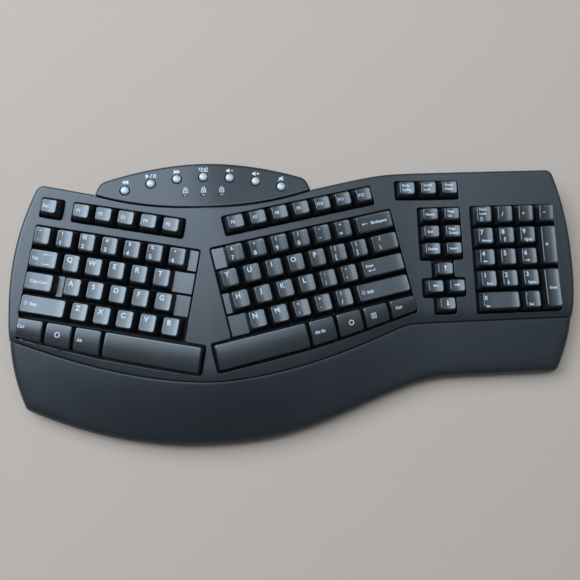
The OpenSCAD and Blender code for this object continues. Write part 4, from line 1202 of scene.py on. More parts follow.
def circuit_board(name, colour):
    """Solder mask with lighter traces under it."""
    f = Finish(name)
    cell = f.add("ShaderNodeTexBrick", {"offset": 0.37, "squash": 0.7},
                 {"Vector": f.spot, "Scale": 160.0, "Mortar Size": 0.05, "Mortar Smooth": 0.2}, "Fac")
    weave = f.noise(1500.0)
    tone = f.blend(cell, shade(colour), shade(colour, 1.9))
    return f.surface({"Base Color": tone, "Roughness": 0.34 + weave * 0.12,
                      "Normal": f.bump(cell, 0.2, 0.00004)})


def cell_wrap(name, colour):
    """Shrink wrap of a cell: a dark body with a copper-coloured end band."""
    f = Finish(name)
    axis = f.add("ShaderNodeSeparateXYZ", {}, {"Vector": f.spot}, "X")
    band = f.add("ShaderNodeMath", {"operation": "ABSOLUTE"}, {0: axis + 0.08}) > 0.0135
    wear = f.noise(260.0, 3.0)
    tone = f.blend(band, shade(colour), (0.42, 0.2, 0.08, 1.0))
    return f.surface({"Base Color": tone, "Metallic": band * 0.6, "Roughness": 0.28 + wear * 0.16})


def lens_with_painted_highlight(name, colour):
    """Smoky light pipe, a little hazy, given a pale base colour that is a painted highlight of light caught
    in the pipe.
    """
    f = Finish(name)
    haze = f.noise(1800.0)
    tone = f.blend(haze, shade(colour, 0.9), shade(colour, 1.05))
    return f.surface({"Base Color": tone, "Roughness": 0.22 + haze * 0.1, "Transmission Weight": 0.25,
                      "IOR": 1.49})


def new_object(name, data):
    thing = bpy.data.objects.new(name, data)
    bpy.context.scene.collection.objects.link(thing)
    return thing


def new_mesh(name, verts, faces):
    """A mesh from points in millimetres."""
    mesh = bpy.data.meshes.new(name)
    mesh.from_pydata((np.asarray(verts) * MM).tolist(), [], [[int(i) for i in f] for f in faces])
    return mesh


def worked_mesh(holder):
    """The mesh of an object after its modifiers."""
    bpy.context.view_layer.update()
    return bpy.data.meshes.new_from_object(holder.evaluated_get(bpy.context.evaluated_depsgraph_get()))


def smooth(mesh, sharp):
    """Smooth faces, apart from edges that turn by more than sharp degrees."""
    mesh.polygons.foreach_set("use_smooth", np.ones(len(mesh.polygons), bool))
    mesh.set_sharp_from_angle(angle=math.radians(sharp))


SHARP = 38.0


def new_piece(name, verts, faces, finishes, slots=None):
    """A mesh object at the origin from points in millimetres in the body frame."""
    mesh = new_mesh(name, verts, faces)
    for material in finishes:
        mesh.materials.append(material)
    if slots is not None:
        mesh.polygons.foreach_set("material_index", np.asarray(slots, np.int32))
    if mesh.validate(verbose=False):
        raise RuntimeError(name + " had broken faces")
    smooth(mesh, SHARP)
    mesh.update()
    return new_object(name, mesh)


def settings():
    return bpy.context.scene.keyboard_dress


def colours():
    return bpy.context.scene.keyboard_colours


FINISHES = {}


def finish(name):
    """Each material is made once, from the colours of the scene."""
    if not FINISHES:
        c = colours()
        FINISHES.update({
            "shell": moulded_plastic("shell_charcoal", c.shell, 0.34, 0.8),
            "palm": moulded_plastic("palm_charcoal", c.shell, 0.44, 0.45, 3000.0, 0.00002, 0.25),
            "keys": moulded_plastic("key_black", c.keys, 0.27, 1.0, 3200.0, 0.00002, 0.2, 1.6),
            "inner": moulded_plastic("inner_black", c.inner, 0.6, 0.4),
            "legend": printed_white("legend_white", c.legend),
            "silver": satin_silver("button_silver", c.silver),
            "steel": rolled_metal("backing_steel", c.steel, 0.38, 0),
            "nickel": rolled_metal("contact_nickel", shade(c.steel, 1.15), 0.25, 2),
            "screw": rolled_metal("screw_dark", shade(c.steel, 0.4), 0.36, 2),
            "rubber": soft_rubber("pad_rubber", c.rubber),
            "board": circuit_board("board_green", c.board),
            "cell": cell_wrap("cell_wrap", c.cell),
            "lens": lens_with_painted_highlight("status_lens", c.lens),
        })
    return FINISHES[name]


class KeyRow:
    """Geometry Nodes tree that repeats one keycap along a row and seats the row on its key block."""

    INPUTS = (("Cap", "NodeSocketObject"), ("Count", "NodeSocketInt"), ("First", "NodeSocketVector"),
              ("Step", "NodeSocketVector"), ("Seat", "NodeSocketVector"), ("Turn", "NodeSocketVector"),
              ("Finish", "NodeSocketMaterial"))

    def __init__(self):
        tree = bpy.data.node_groups.new("key_row", "GeometryNodeTree")
        self.tree = tree
        self.ids = {name: tree.interface.new_socket(name=name, in_out="INPUT", socket_type=kind).identifier
                    for name, kind in self.INPUTS}
        tree.interface.new_socket(name="Geometry", in_out="OUTPUT", socket_type="NodeSocketGeometry")
        given = tree.nodes.new("NodeGroupInput").outputs
        line = self.node("GeometryNodeMeshLine", {"mode": "OFFSET"},
                         {"Count": given["Count"], "Start Location": given["First"], "Offset": given["Step"]})
        cap = self.node("GeometryNodeObjectInfo", {"transform_space": "ORIGINAL"}, {"Object": given["Cap"]})
        row = self.node("GeometryNodeInstanceOnPoints", {},
                        {"Points": line.outputs["Mesh"], "Instance": cap.outputs["Geometry"]})
        turn = self.node("FunctionNodeEulerToRotation", {}, {"Euler": given["Turn"]})
        seated = self.node("GeometryNodeTransform", {},
                           {"Geometry": row.outputs["Instances"], "Translation": given["Seat"],
                            "Rotation": turn.outputs["Rotation"]})
        solid = self.node("GeometryNodeRealizeInstances", {}, {"Geometry": seated.outputs["Geometry"]})
        painted = self.node("GeometryNodeSetMaterial", {},
                            {"Geometry": solid.outputs["Geometry"], "Material": given["Finish"]})
        self.node("NodeGroupOutput", {}, {"Geometry": painted.outputs["Geometry"]})

    def node(self, kind, options, links):
        made = self.tree.nodes.new(kind)
        for key, value in options.items():
            setattr(made, key, value)
        for key, socket in links.items():
            self.tree.links.new(socket, made.inputs[key])
        return made

    def build(self, part, count, first, block):
        """The realized row as points in millimetres and faces."""
        pattern = new_object("cap_pattern", new_mesh("cap_pattern", *part))
        holder = new_object("key_row", bpy.data.meshes.new("key_row"))
        seat = block_matrix(block)
        values = {"Cap": pattern, "Count": count, "First": (first[0] * MM, first[1] * MM, 0.0),
                  "Step": (PITCH_U * MM, 0.0, 0.0), "Finish": finish("keys"),
                  "Seat": tuple(c * MM for c in seat.to_translation()), "Turn": tuple(seat.to_euler("XYZ"))}
        modifier = holder.modifiers.new("key_row", "NODES")
        modifier.node_group = self.tree
        for name, value in values.items():
            modifier[self.ids[name]] = value
        plain = worked_mesh(holder)
        verts = np.empty(len(plain.vertices) * 3)
        plain.vertices.foreach_get("co", verts)
        faces = [tuple(p.vertices) for p in plain.polygons]
        expected = count * len(part[0])
        for thing in (holder, pattern):
            data = thing.data
            bpy.data.objects.remove(thing)
            bpy.data.meshes.remove(data)
        bpy.data.meshes.remove(plain)
        if len(verts) != expected * 3:
            raise RuntimeError("key row has %d points, not %d" % (len(verts) // 3, expected))
        return verts.reshape(-1, 3) / MM, faces


def thick(verts, faces, depth):
    """A flat print made a thin closed solid that reaches depth below its face."""
    n = len(verts)
    low = verts - np.array([0, 0, depth])
    edges = set()
    for f in faces:
        for i in range(len(f)):
            edges.add((f[i], f[(i + 1) % len(f)]))
    out = list(faces) + [tuple(i + n for i in reversed(f)) for f in faces]
    out += [(b, a, a + n, b + n) for a, b in edges if (b, a) not in edges]
    return np.concatenate([verts, low]), out


def print_on(flat, faces, z):
    """A flat print laid on a surface whose height at each of its points is z."""
    return thick(np.column_stack([flat, z + LEGEND_LIFT]), faces, 3 * LEGEND_LIFT)


def printed(marks, place, half, top):
    """Legend solids on a top surface: place is the top's middle and half its half sizes."""
    parts = []
    for body, fx, fy, *rest in marks:
        flat, faces = LETTERING.put(body, place[0] + fx * half[0], place[1] + fy * half[1], *rest)
        parts.append(print_on(flat, faces, np.array([top(x, y) for x, y in flat])))
    return parts


def with_prints(plastic, prints):
    """One part of plastic and prints, with finish 0 on the plastic and 1 on the prints."""
    slots = [0] * sum(len(p[1]) for p in plastic) + [1] * sum(len(p[1]) for p in prints)
    return stacked(plastic + prints), slots


def finish_key(node, plastic, prints):
    (verts, faces), slots = with_prints(plastic, prints)
    piece = new_piece(node + "_dress", verts, faces, [finish("keys"), finish("legend")], slots)
    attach(piece, node)
    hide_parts(node)
    return piece


def like_runs(keys):
    """Splits a list of keys into runs of equal caps one pitch apart."""
    runs = []
    for i, k in enumerate(keys):
        last = runs[-1] if runs else None
        if last and keys[last[-1]][1:] == k[1:] and abs(k[0] - keys[last[-1]][0] - 1) < TINY:
            last.append(i)
        else:
            runs.append([i])
    return runs


def dress_caps(node, block, keys, rows, sizes):
    plastic = []
    prints = []
    for members in like_runs(keys):
        u, v, w, d, left, right = keys[members[0]]
        wide = w * PITCH_U - KEY_GAP
        deep = d * PITCH_U - KEY_GAP
        lean = row_lean(v, sizes)
        parts = [cap_mesh(wide, deep, lean, sizes), stem_mesh()]
        if left or right:
            parts.append(step_mesh(wide, deep, left, right))
        part = stacked(parts)
        first = (u * PITCH_U, v * PITCH_U)
        if len(members) > 1:
            plastic.append(rows.build(part, len(members), first, block))
        else:
            plastic.append((on_block(block, part[0] + np.array([first[0], first[1], 0.0])), part[1]))
        hx, hy, top = cap_top(wide, deep, lean, sizes)
        for j in members:
            centre = np.array([keys[j][0] * PITCH_U, keys[j][1] * PITCH_U, 0.0])
            for verts, faces in printed(LEGENDS[node][j], (0.0, CAP_BACK), (hx, hy), top):
                prints.append((on_block(block, verts + centre), faces))
            if HOMING.get(node) == j:
                bar = moved(block_loft(*HOMING_BAR), 0, HOMING_AT * hy, top(0, HOMING_AT * hy))
                plastic.append((on_block(block, bar[0] + centre), bar[1]))
    return finish_key(node, plastic, prints)


def dress_slab(node, block, u0, u1, sizes):
    part = slab_mesh(block, u0, u1, sizes)
    back, top = slab_top(block, sizes)
    mid = (u0 + u1) / 2 * PITCH_U
    front = float(row_front(block, mid)) + KEY_GAP / 2
    centre = (mid, (back + front) / 2)
    places = (-LONG_STEM, 0.0, LONG_STEM) if u1 - u0 > LONG_SLAB else (0.0,)
    stems = [moved(stem_mesh(), mid + p * PITCH_U, centre[1]) for p in places]
    half = ((u1 - u0) / 2 * PITCH_U - SLAB_PRINT_SIDE, (back - front) / 2 - SLAB_PRINT_END)
    prints = printed(LEGENDS.get(node, [[]])[0], centre, half, top)
    return finish_key(node, [(on_block(block, v), f) for v, f in [part] + stems],
                      [(on_block(block, v), f) for v, f in prints])


def lathed(profile, count):
    """Closed form of revolution from (radius, height) pairs, from its crown down to its foot."""
    a = np.linspace(0, 2 * math.pi, count, endpoint=False)
    rings = [np.column_stack([r * np.cos(a), r * np.sin(a), np.full(count, z)]) for r, z in profile[1:-1]]
    verts = np.concatenate([[[0, 0, profile[0][1]]]] + rings + [[[0, 0, profile[-1][1]]]])
    faces = [(0, 1 + i, 1 + (i + 1) % count) for i in range(count)]
    for k in range(len(rings) - 1):
        high = 1 + k * count
        low = high + count
        faces += [(high + i, low + i, low + (i + 1) % count, high + (i + 1) % count) for i in range(count)]
    last = 1 + (len(rings) - 1) * count
    end = len(verts) - 1
    faces += [(last + (i + 1) % count, last + i, end) for i in range(count)]
    return verts, faces


BUTTONS = ("media_rewind", "media_play", "media_forward", "media_link", "media_quieter", "media_louder",
           "media_mute")
BUTTON_SIDES = 36
BUTTON_SHOULDER = 0.25
BUTTON_CROWN = 0.985
BUTTON_FLANGE = 0.95
BUTTON_FLANGE_TOP = -3.5
PLUNGER_LOW = 31.4


def button_profile(tip):
    """Half section of a media button, from its crown down to its plunger's tip."""
    rise = BUTTON_RISE - BUTTON_SHOULDER
    crown = [(BUTTON_R * BUTTON_CROWN * math.sin(a), BUTTON_SHOULDER + rise * math.cos(a))
             for a in np.radians(np.linspace(0, 88, 10))]
    wide = BUTTON_R + BUTTON_FLANGE
    top = BUTTON_FLANGE_TOP
    return crown + [(BUTTON_R, 0.1), (BUTTON_R, -0.5), (BUTTON_R, top), (wide, top - 0.05),
                    (wide, top - 0.7), (1.5, top - 0.75), (1.2, tip + 0.3), (0.9, tip), (0.0, tip)]


# Curves of each case outline, in the order in which it runs
(DECK_SEAM, DECK_RIGHT, DECK_REAR_RIGHT, DECK_NOTCH_RIGHT, DECK_ARC, DECK_NOTCH_LEFT, DECK_REAR_LEFT,
 DECK_LEFT) = range(8)
PALM_FRONT, PALM_RIGHT, PALM_SEAM, PALM_LEFT = range(4)
HOOD_FRONT, HOOD_RIGHT, HOOD_REAR, HOOD_LEFT = range(4)
OUTLINE_STEP = 2.4
EDGE_CORNER = 0.4
NOTCH_CORNER = 0.3
HOOD_FRONT_CORNER = 0.5
LEFT_NOSE_Y = -140.0
RIGHT_NOSE_Y = -128.0


def across(f, a, b, n=160):
    x = np.linspace(a, b, n)
    return np.column_stack([x, f(x)])


def along(f, a, b, n=60):
    y = np.linspace(a, b, n)
    return np.column_stack([f(y), y])


def notch(x):
    return np.array([[x, float(deck_arc(x))], [x, float(deck_rear(x))]])


def case_paths(step):
    """Plan outlines of the deck, the palm rest and the hood, each with the number of its curve at each
    point."""
    half_gap = SEAM_GAP / 2
    y_ls = settle(seam, left_edge, SEAM_FLAT)
    y_rs = settle(seam, right_edge, SEAM_FLAT)
    y_lr = settle(deck_rear, left_edge, REAR_SIDE_Y)
    y_rr = settle(deck_rear, right_edge, REAR_FLAT)
    y_lf = settle(front_edge, left_edge, LEFT_NOSE_Y)
    y_rf = settle(front_edge, right_edge, RIGHT_NOSE_Y)
    seam_left = float(left_edge(y_ls))
    seam_right = float(right_edge(y_rs))
    x0 = HOOD_X - HOOD_HALF
    x1 = HOOD_X + HOOD_HALF
    deck = closed_path(
        [across(lambda x: seam(x) + half_gap, seam_left, seam_right, 300),
         along(right_edge, y_rs + half_gap, y_rr), across(deck_rear, float(right_edge(y_rr)), x1),
         notch(x1)[::-1], across(deck_arc, x1, x0), notch(x0),
         across(deck_rear, x0, float(left_edge(y_lr)), 30), along(left_edge, y_lr, y_ls + half_gap)],
        [EDGE_CORNER, CORNER_ROUND, EDGE_CORNER, NOTCH_CORNER, NOTCH_CORNER, EDGE_CORNER, CORNER_ROUND,
         EDGE_CORNER], step)
    palm = closed_path(
        [across(front_edge, float(left_edge(y_lf)), float(right_edge(y_rf)), 300),
         along(right_edge, y_rf, y_rs - half_gap),
         across(lambda x: seam(x) - half_gap, seam_right, seam_left, 300),
         along(left_edge, y_ls - half_gap, y_lf)],
        [CORNER_ROUND, EDGE_CORNER, EDGE_CORNER, CORNER_ROUND], step)
    x0 += HOOD_END_GAP
    x1 -= HOOD_END_GAP
    front = across(lambda x: deck_arc(x) + SHADOW_GAP, x0, x1, 200)
    rear = across(hood_arc, x1 - HOOD_CUT, x0 + HOOD_CUT, 200)
    hood = closed_path([front, np.array([front[-1], rear[0]]), rear, np.array([rear[-1], front[0]])],
                       [HOOD_FRONT_CORNER, HOOD_CORNER, HOOD_CORNER, HOOD_FRONT_CORNER], step)
    return deck, palm, hood


def stretch(path, tags, which):
    """Open path along the points of an outline whose curve numbers are given, with the next point at
    each end."""
    hit = np.isin(tags, which)
    n = len(path)
    start = next(i for i in range(n) if hit[i] and not hit[i - 1])
    order = [start - 1] + [(start + k) % n for k in range(n) if hit[(start + k) % n]]
    order.append((order[-1] + 1) % n)
    return path[order]


def opening_paths():
    out = []
    for block, shapes in OPENINGS.items():
        for corners in shapes:
            flat = rounded_polygon(np.array(corners) * PITCH_U, OPEN_ROUND, OUTLINE_STEP)
            level = np.column_stack([flat, np.full(len(flat), -DECK_DROP)])
            out.append((on_block(block, level) - SHIFT)[:, :2])
    return out


def case_piece(name, node, part, finishes, slots=None):
    piece = new_piece(name, part[0] + SHIFT, part[1], finishes, slots)
    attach(piece, "case")
    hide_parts(node)
    return piece


LENS_SIGNS = ("one", "cap", "scroll")
LENS_CORNERS = np.array([(-2.25, -0.75), (2.25, -0.75), (2.25, 0.75), (-2.25, 0.75)])
LENS_ROUND = 0.74
LENS_STEP_FINE = 0.8
LENS_MARK_BEHIND = 4.9
LENS_MARK_SIZE = 4.8
MARK_BEHIND = 6.7
MARK_FAN = 0.1


def hood_prints(height):
    """Marks printed on the hood: one behind each media button and one behind each status lens."""
    parts = []

    def put(shape, x, y, size):
        flat, faces = placed(shape, x, y, size)
        parts.append(print_on(flat, faces, height(flat)))

    for i, kind in enumerate(BUTTONS):
        x, y, _ = button_at(i)
        put(media_mark(kind), x, y + MARK_BEHIND + MARK_FAN * (i - 3) ** 2, 1.0)
    for i, sign in enumerate(LENS_SIGNS):
        put(padlock_mark(sign), lens_at(i)[0], LENS_Y + LENS_MARK_BEHIND, LENS_MARK_SIZE)
    return parts


DECK_CELL = 6.0
HOOD_CELL = 4.0
SEAM_SKIRT = 8.0
HOOD_SKIRT = 6.0
HOOD_COVER = 20.0
PALM_LEAST = 1.0
HOLE_SIDES = 32


def dress_deck(deck, tags, wall, edge, lip):
    sides = [stretch(deck, tags, which)
             for which in ((DECK_RIGHT, DECK_REAR_RIGHT), (DECK_REAR_LEFT, DECK_LEFT))]
    seam_side = stretch(deck, tags, (DECK_SEAM,))
    hood_side = stretch(deck, tags, (DECK_NOTCH_RIGHT, DECK_ARC, DECK_NOTCH_LEFT))

    def height(p):
        side = np.minimum(*(gap_to(p, path) for path in sides))
        seam_gap = gap_to(p, seam_side)
        groove = np.minimum(seam_gap, gap_to(p, hood_side))
        strip = STRIP_FALL * np.clip(1 - seam_gap / STRIP_WIDE, 0, 1) ** STRIP_POWER
        z = deck_z(p[:, 0], p[:, 1]) - strip
        return z - np.maximum(round_off(side, edge), round_off(groove, lip))

    covered = (tags == DECK_ARC) & (np.abs(deck[:, 0] - HOOD_X) < HOOD_HALF - HOOD_COVER)
    low = np.where((tags == DECK_SEAM) | covered, height(deck) - SEAM_SKIRT, PARTING_H)
    toe = np.where((tags == DECK_REAR_RIGHT) | (tags == DECK_REAR_LEFT), REAR_TOE, 0.0)
    part = moulded_shell(deck, opening_paths(), height, low, wall, DECK_CELL, toe)
    case_piece("top_case_dress", "top_case", part, [finish("shell")])


def dress_palm(palm, tags, wall):
    sides = stretch(palm, tags, (PALM_LEFT, PALM_FRONT, PALM_RIGHT))
    seam_side = stretch(palm, tags, (PALM_SEAM,))

    def height(p):
        z = palm_z(p[:, 0], p[:, 1]) - round_off(gap_to(p, sides), NOSE_ROUND)
        gap = gap_to(p, seam_side)
        bevel = PALM_BEVEL_SLOPE * np.maximum(0, PALM_BEVEL - gap)
        return np.maximum(PARTING_H + PALM_LEAST, z - bevel - round_off(gap, PALM_LIP))

    low = np.where(tags == PALM_SEAM, height(palm) - SEAM_SKIRT, PARTING_H)
    part = moulded_shell(palm, [], height, low, wall, DECK_CELL)
    case_piece("palm_rest_dress", "palm_rest", part, [finish("palm")])


def dress_hood(hood, tags, wall, edge, lip):
    rear = stretch(hood, tags, (HOOD_RIGHT, HOOD_REAR, HOOD_LEFT))
    front = stretch(hood, tags, (HOOD_FRONT,))

    def height(p):
        return hood_z(p[:, 0], p[:, 1]) - round_off(gap_to(p, rear), edge) - round_off(gap_to(p, front), lip)

    holes = [circle_points(*button_at(i)[:2], BUTTON_R + BUTTON_RING, 0, 360, HOLE_SIDES + 1)[:-1]
             for i in range(len(BUTTONS))]
    holes += [rounded_polygon(LENS_CORNERS + lens_at(i)[:2], LENS_ROUND, LENS_STEP_FINE)
              for i in range(len(LENS_SIGNS))]
    low = np.where(tags == HOOD_FRONT, height(hood) - HOOD_SKIRT, PARTING_H)
    shell = moulded_shell(hood, holes, height, low, wall, HOOD_CELL)
    part, slots = with_prints([shell], hood_prints(height))
    case_piece("media_hood_dress", "media_hood", part, [finish("shell"), finish("legend")], slots)


class KEYBOARD_OT_shells(bpy.types.Operator):
    """Builds the top case, the palm rest and the media hood as smooth moulded shells"""
    bl_idname = "keyboard.shells"
    bl_label = "Moulded shells"

    def execute(self, context):
        sizes = settings()
        wall = sizes.wall / MM
        edge = sizes.edge_round / MM
        lip = sizes.lip_round / MM
        deck, palm, hood = case_paths(OUTLINE_STEP)
        dress_deck(*deck, wall, edge, lip)
        dress_palm(*palm, wall)
        dress_hood(*hood, wall, edge, lip)
        return {"FINISHED"}


class KEYBOARD_OT_caps(bpy.types.Operator):
    """Builds the dished keycaps, row by row, with their printed legends"""
    bl_idname = "keyboard.caps"
    bl_label = "Dished keycaps"

    def execute(self, context):
        rows = KeyRow()
        for node, (block, keys) in CAPS.items():
            dress_caps(node, block, keys, rows, settings())
        bpy.data.node_groups.remove(rows.tree)
        return {"FINISHED"}


class KEYBOARD_OT_slabs(bpy.types.Operator):
    """Builds the barrel-topped keys of the bottom row and the two space bars"""
    bl_idname = "keyboard.slabs"
    bl_label = "Bottom row keys"

    def execute(self, context):
        for node, (block, u0, u1) in SLABS.items():
            dress_slab(node, block, u0, u1, settings())
        return {"FINISHED"}


class KEYBOARD_OT_media_buttons(bpy.types.Operator):
    """Builds the seven silver media buttons"""
    bl_idname = "keyboard.media_buttons"
    bl_label = "Media buttons"

    def execute(self, context):
        for i, node in enumerate(BUTTONS):
            x, y, z = button_at(i)
            part = lathed(button_profile(PLUNGER_LOW - z), BUTTON_SIDES)
            # Faces at and below the flange take the dark inner finish: an unpainted plunger, whose dark
            # colour also paints the shade in the ring round each button.
            low = [part[0][list(f), 2].max() <= BUTTON_FLANGE_TOP + 0.01 for f in part[1]]
            piece = new_piece(node + "_dress", part[0] + SHIFT + np.array([x, y, z]), part[1],
                              [finish("silver"), finish("inner")], low)
            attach(piece, node)
            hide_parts(node)
        return {"FINISHED"}


# Plain pieces that keep their solid: the finish of each
KEPT = {"base_tray": "shell", "key_frame_left": "inner", "key_frame_right": "inner", "key_frame_pad": "inner",
        "dome_sheets": "rubber", "backing_plates": "steel", "controller_board": "board",
        "media_board": "board", "battery_cells": "cell", "battery_contacts": "nickel",
        "case_screws": "screw"}
# Plain pieces with rolled edges: finish, slot and the width of the roll
SOFTENED = {"battery_door": ("shell", "shell", 0.35), "tilt_foot_left": ("inner", "shell", 0.45),
            "tilt_foot_right": ("inner", "shell", 0.45), "power_slider": ("silver", "silver_button", 0.25),
            "rubber_pads": ("rubber", "rubber", 0.4), "status_lenses": ("lens", "lens", 0.12)}


SAME_POINT = 0.002
SAME_PLANE = math.radians(2)
ROLLED_ANGLE = math.radians(40)
SMALL_SHARP = 35.0


def softened(name, look, width):
    """A copy of a plain piece with its edges rolled over."""
    source = frame["nodes"][name]
    bm = bmesh.new()
    bm.from_mesh(source.data)
    bm.transform(source.matrix_world)
    bmesh.ops.remove_doubles(bm, verts=bm.verts, dist=SAME_POINT * MM)
    bmesh.ops.dissolve_limit(bm, angle_limit=SAME_PLANE, verts=bm.verts, edges=bm.edges)
    bmesh.ops.recalc_face_normals(bm, faces=bm.faces)
    plain = bpy.data.meshes.new(name)
    bm.to_mesh(plain)
    bm.free()
    holder = new_object(name + "_edges", plain)
    bevel = holder.modifiers.new("edges", "BEVEL")
    bevel.width = width * MM
    bevel.segments = 2
    bevel.limit_method = "ANGLE"
    bevel.angle_limit = ROLLED_ANGLE
    mesh = worked_mesh(holder)
    bpy.data.objects.remove(holder)
    bpy.data.meshes.remove(plain)
    mesh.materials.clear()
    mesh.materials.append(finish(look))
    smooth(mesh, SMALL_SHARP)
    return new_object(name + "_dress", mesh)


class KEYBOARD_OT_inner_pieces(bpy.types.Operator):
    """Gives the inner pieces their finishes and rolls the edges of the small pieces that show"""
    bl_idname = "keyboard.inner_pieces"
    bl_label = "Inner and small pieces"

    def execute(self, context):
        for name, look in KEPT.items():
            node = frame["nodes"][name]
            if not node.material_slots:
                raise RuntimeError(name + " has no material slot")
            for place in node.material_slots:
                place.material = finish(look)
        for name, (look, slot, width) in SOFTENED.items():
            piece = softened(name, look, width)
            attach(piece, name if name in frame["bodies"] else "case")
            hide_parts(name)
        return {"FINISHED"}


CAMERA_AT = (23.69, -148.26, 567.79)
CAMERA_RIGHT = (0.99606, -0.05066, 0.07284)
CAMERA_DOWN = (-0.03683, -0.98297, -0.18002)
CAMERA_LENS = 40.34
CAMERA_SENSOR = 36.0
CAMERA_NEAR = 0.01
FLOOR_REACH = 6.0
# Light panels: place and size in metres
PANEL_HEIGHT = 2.6
PANELS = {"window": ((-3.05, 2.1), (2.3, 4.1)), "blind": ((-1.13, 2.1), (1.55, 4.1)),
          "skylight": ((0.22, 0.52), (1.15, 0.95)), "ceiling": ((1.2, 1.5), (2.2, 2.3))}


def area_light(name, place, size, power, colour):
    """A soft panel that faces straight down."""
    data = bpy.data.lights.new(name, "AREA")
    data.shape = "RECTANGLE"
    data.size = size[0]
    data.size_y = size[1]
    data.energy = power
    data.color = colour
    light = new_object(name, data)
    light.location = place + (PANEL_HEIGHT,)


class KEYBOARD_OT_stage(bpy.types.Operator):
    """Sets the floor, the soft lights and the camera"""
    bl_idname = "keyboard.stage"
    bl_label = "Stage"

    def execute(self, context):
        scene = context.scene
        c = colours()
        sizes = settings()
        f = Finish("floor_pale")
        pile = f.noise(420.0, 3.0)
        tone = f.blend(pile, shade(c.floor, 0.97), shade(c.floor, 1.03))
        cloth = f.surface({"Base Color": tone, "Roughness": 0.9 + (pile - 0.5) * 0.1})
        corners = np.array([(-1, -1, 0), (1, -1, 0), (1, 1, 0), (-1, 1, 0)]) * FLOOR_REACH
        floor = new_piece("floor", (corners + (0, 0, CAD_BOX[0][2])) / MM, [(0, 1, 2, 3)], [cloth])
        for name, (place, size) in PANELS.items():
            area_light(name, place, size, getattr(sizes, name + "_power"), c.daylight)
        world = bpy.data.worlds.new("room")
        room = Shading(world)
        even = room.add("ShaderNodeBackground", {}, {"Color": shade(c.daylight), "Strength": sizes.fill})
        room.add("ShaderNodeOutputWorld", {}, {"Surface": even}, None)
        scene.world = world
        across = Vector(CAMERA_RIGHT)
        down = Vector(CAMERA_DOWN)
        away = across.cross(down)
        turn = Matrix((across, -down, -away)).transposed().to_4x4()
        data = bpy.data.cameras.new("view")
        data.lens = CAMERA_LENS
        data.sensor_width = CAMERA_SENSOR
        data.clip_start = CAMERA_NEAR
        camera = new_object("view", data)
        camera.matrix_world = Matrix.Translation(Vector((np.array(CAMERA_AT) + SHIFT) * MM)) @ turn
        scene.camera = camera
        scene.view_settings.view_transform = "Standard"
        return {"FINISHED"}


def length(name, words, default):
    return bpy.props.FloatProperty(name=name, description=words, default=default, unit="LENGTH", precision=5)


def angle(name, words, default):
    return bpy.props.FloatProperty(name=name, description=words, default=math.radians(default),
                                   unit="ROTATION")


def paint(name, words, default):
    return bpy.props.FloatVectorProperty(name=name, description=words, default=default, size=3,
                                         subtype="COLOR", min=0.0, max=1.0)


def amount(name, words, default):
    return bpy.props.FloatProperty(name=name, description=words, default=default, min=0.0)


class KeyboardDress(bpy.types.PropertyGroup):
    wall: length("Shell wall", "Thickness of the moulded shells", 0.0022)
    edge_round: length("Edge rounding", "Rounding of the upper edges of the case", 0.0026)
    lip_round: length("Lip rounding", "Rounding beside the grooves", 0.001)
    side_lean: length("Side lean", "How far a cap's top is set in from each side", 0.0023)
    front_lean: length("Front lean", "How far a cap's top is set in from its front and back", 0.0016)
    row_lean: angle("Row lean", "How much more each row leans to the back than the row behind it", 2.2)
    dish: length("Dish", "Depth of the hollow across a cap's top", 0.0009)
    cap_edge: length("Cap edge", "Roll of a cap's upper edge", 0.00095)
    slab_fall: length("Slab fall", "Fall of the bottom row keys to the front", 0.0021)
    window_power: amount("Window power", "Power of the bright panel at the far left, in watts", 192.0)
    blind_power: amount("Blind power", "Power of the softer panel beside it, in watts", 72.0)
    skylight_power: amount("Skylight power", "Power of the small panel overhead, in watts", 13.8)
    ceiling_power: amount("Ceiling power", "Power of the dimmer panel at the rear right, in watts", 15.0)
    fill: amount("Fill", "Strength of the even light from all sides", 0.2)


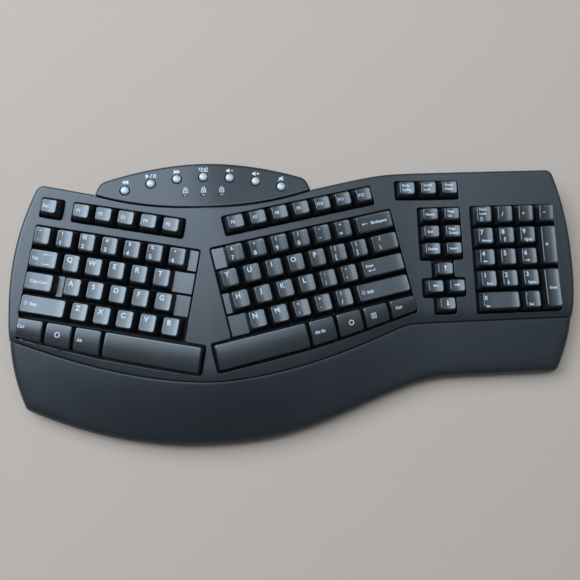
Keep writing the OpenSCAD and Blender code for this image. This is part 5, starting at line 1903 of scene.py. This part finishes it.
class KeyboardColours(bpy.types.PropertyGroup):
    shell: paint("Shell", "Charcoal of the case", (0.018, 0.0185, 0.020))
    keys: paint("Keys", "Black of the keycaps", (0.014, 0.014, 0.0145))
    inner: paint("Inner plastic", "Black of the guide frames and feet", (0.012, 0.012, 0.013))
    legend: paint("Legends", "White of the printed legends", (0.72, 0.75, 0.78))
    silver: paint("Silver", "Silver of the media buttons", (0.50, 0.50, 0.51))
    steel: paint("Steel", "Grey of the backing plates", (0.48, 0.48, 0.47))
    rubber: paint("Rubber", "Grey of the dome sheets and pads", (0.03, 0.03, 0.031))
    board: paint("Circuit boards", "Green of the solder mask", (0.015, 0.09, 0.035))
    cell: paint("Cells", "Dark wrap of the cells", (0.02, 0.02, 0.022))
    # The lens colour is pale grey as a painted highlight of light caught in the light pipes; the plastic
    # itself is smoky clear.
    lens: paint("Lenses", "Smoky clear of the status lenses", (0.42, 0.44, 0.45))
    floor: paint("Floor", "Pale floor under the keyboard", (0.60, 0.455, 0.36))
    daylight: paint("Daylight", "Cool tint of the light", (0.66, 0.83, 1.0))


OPERATORS = (KEYBOARD_OT_shells, KEYBOARD_OT_caps, KEYBOARD_OT_slabs, KEYBOARD_OT_media_buttons,
             KEYBOARD_OT_inner_pieces, KEYBOARD_OT_stage)


class KEYBOARD_PT_dress(bpy.types.Panel):
    """Lists the sizes, the colours and the steps of the dress"""
    bl_idname = "KEYBOARD_PT_dress"
    bl_label = "Keyboard dress"
    bl_space_type = "VIEW_3D"
    bl_region_type = "UI"
    bl_category = "Keyboard"

    def draw(self, context):
        for group in (settings(), colours()):
            box = self.layout.box()
            for name in group.__annotations__:
                box.prop(group, name)
        for operator in OPERATORS:
            self.layout.operator(operator.bl_idname)


CLASSES = (KeyboardDress, KeyboardColours) + OPERATORS + (KEYBOARD_PT_dress,)


def register():
    for c in CLASSES:
        bpy.utils.register_class(c)
    bpy.types.Scene.keyboard_dress = bpy.props.PointerProperty(type=KeyboardDress)
    bpy.types.Scene.keyboard_colours = bpy.props.PointerProperty(type=KeyboardColours)


def unregister():
    del bpy.types.Scene.keyboard_colours
    del bpy.types.Scene.keyboard_dress
    for c in reversed(CLASSES):
        bpy.utils.unregister_class(c)


def main():
    register()
    bpy.ops.keyboard.shells()
    bpy.ops.keyboard.caps()
    bpy.ops.keyboard.slabs()
    bpy.ops.keyboard.media_buttons()
    bpy.ops.keyboard.inner_pieces()
    bpy.ops.keyboard.stage()


if __name__ == "__main__":
    main()
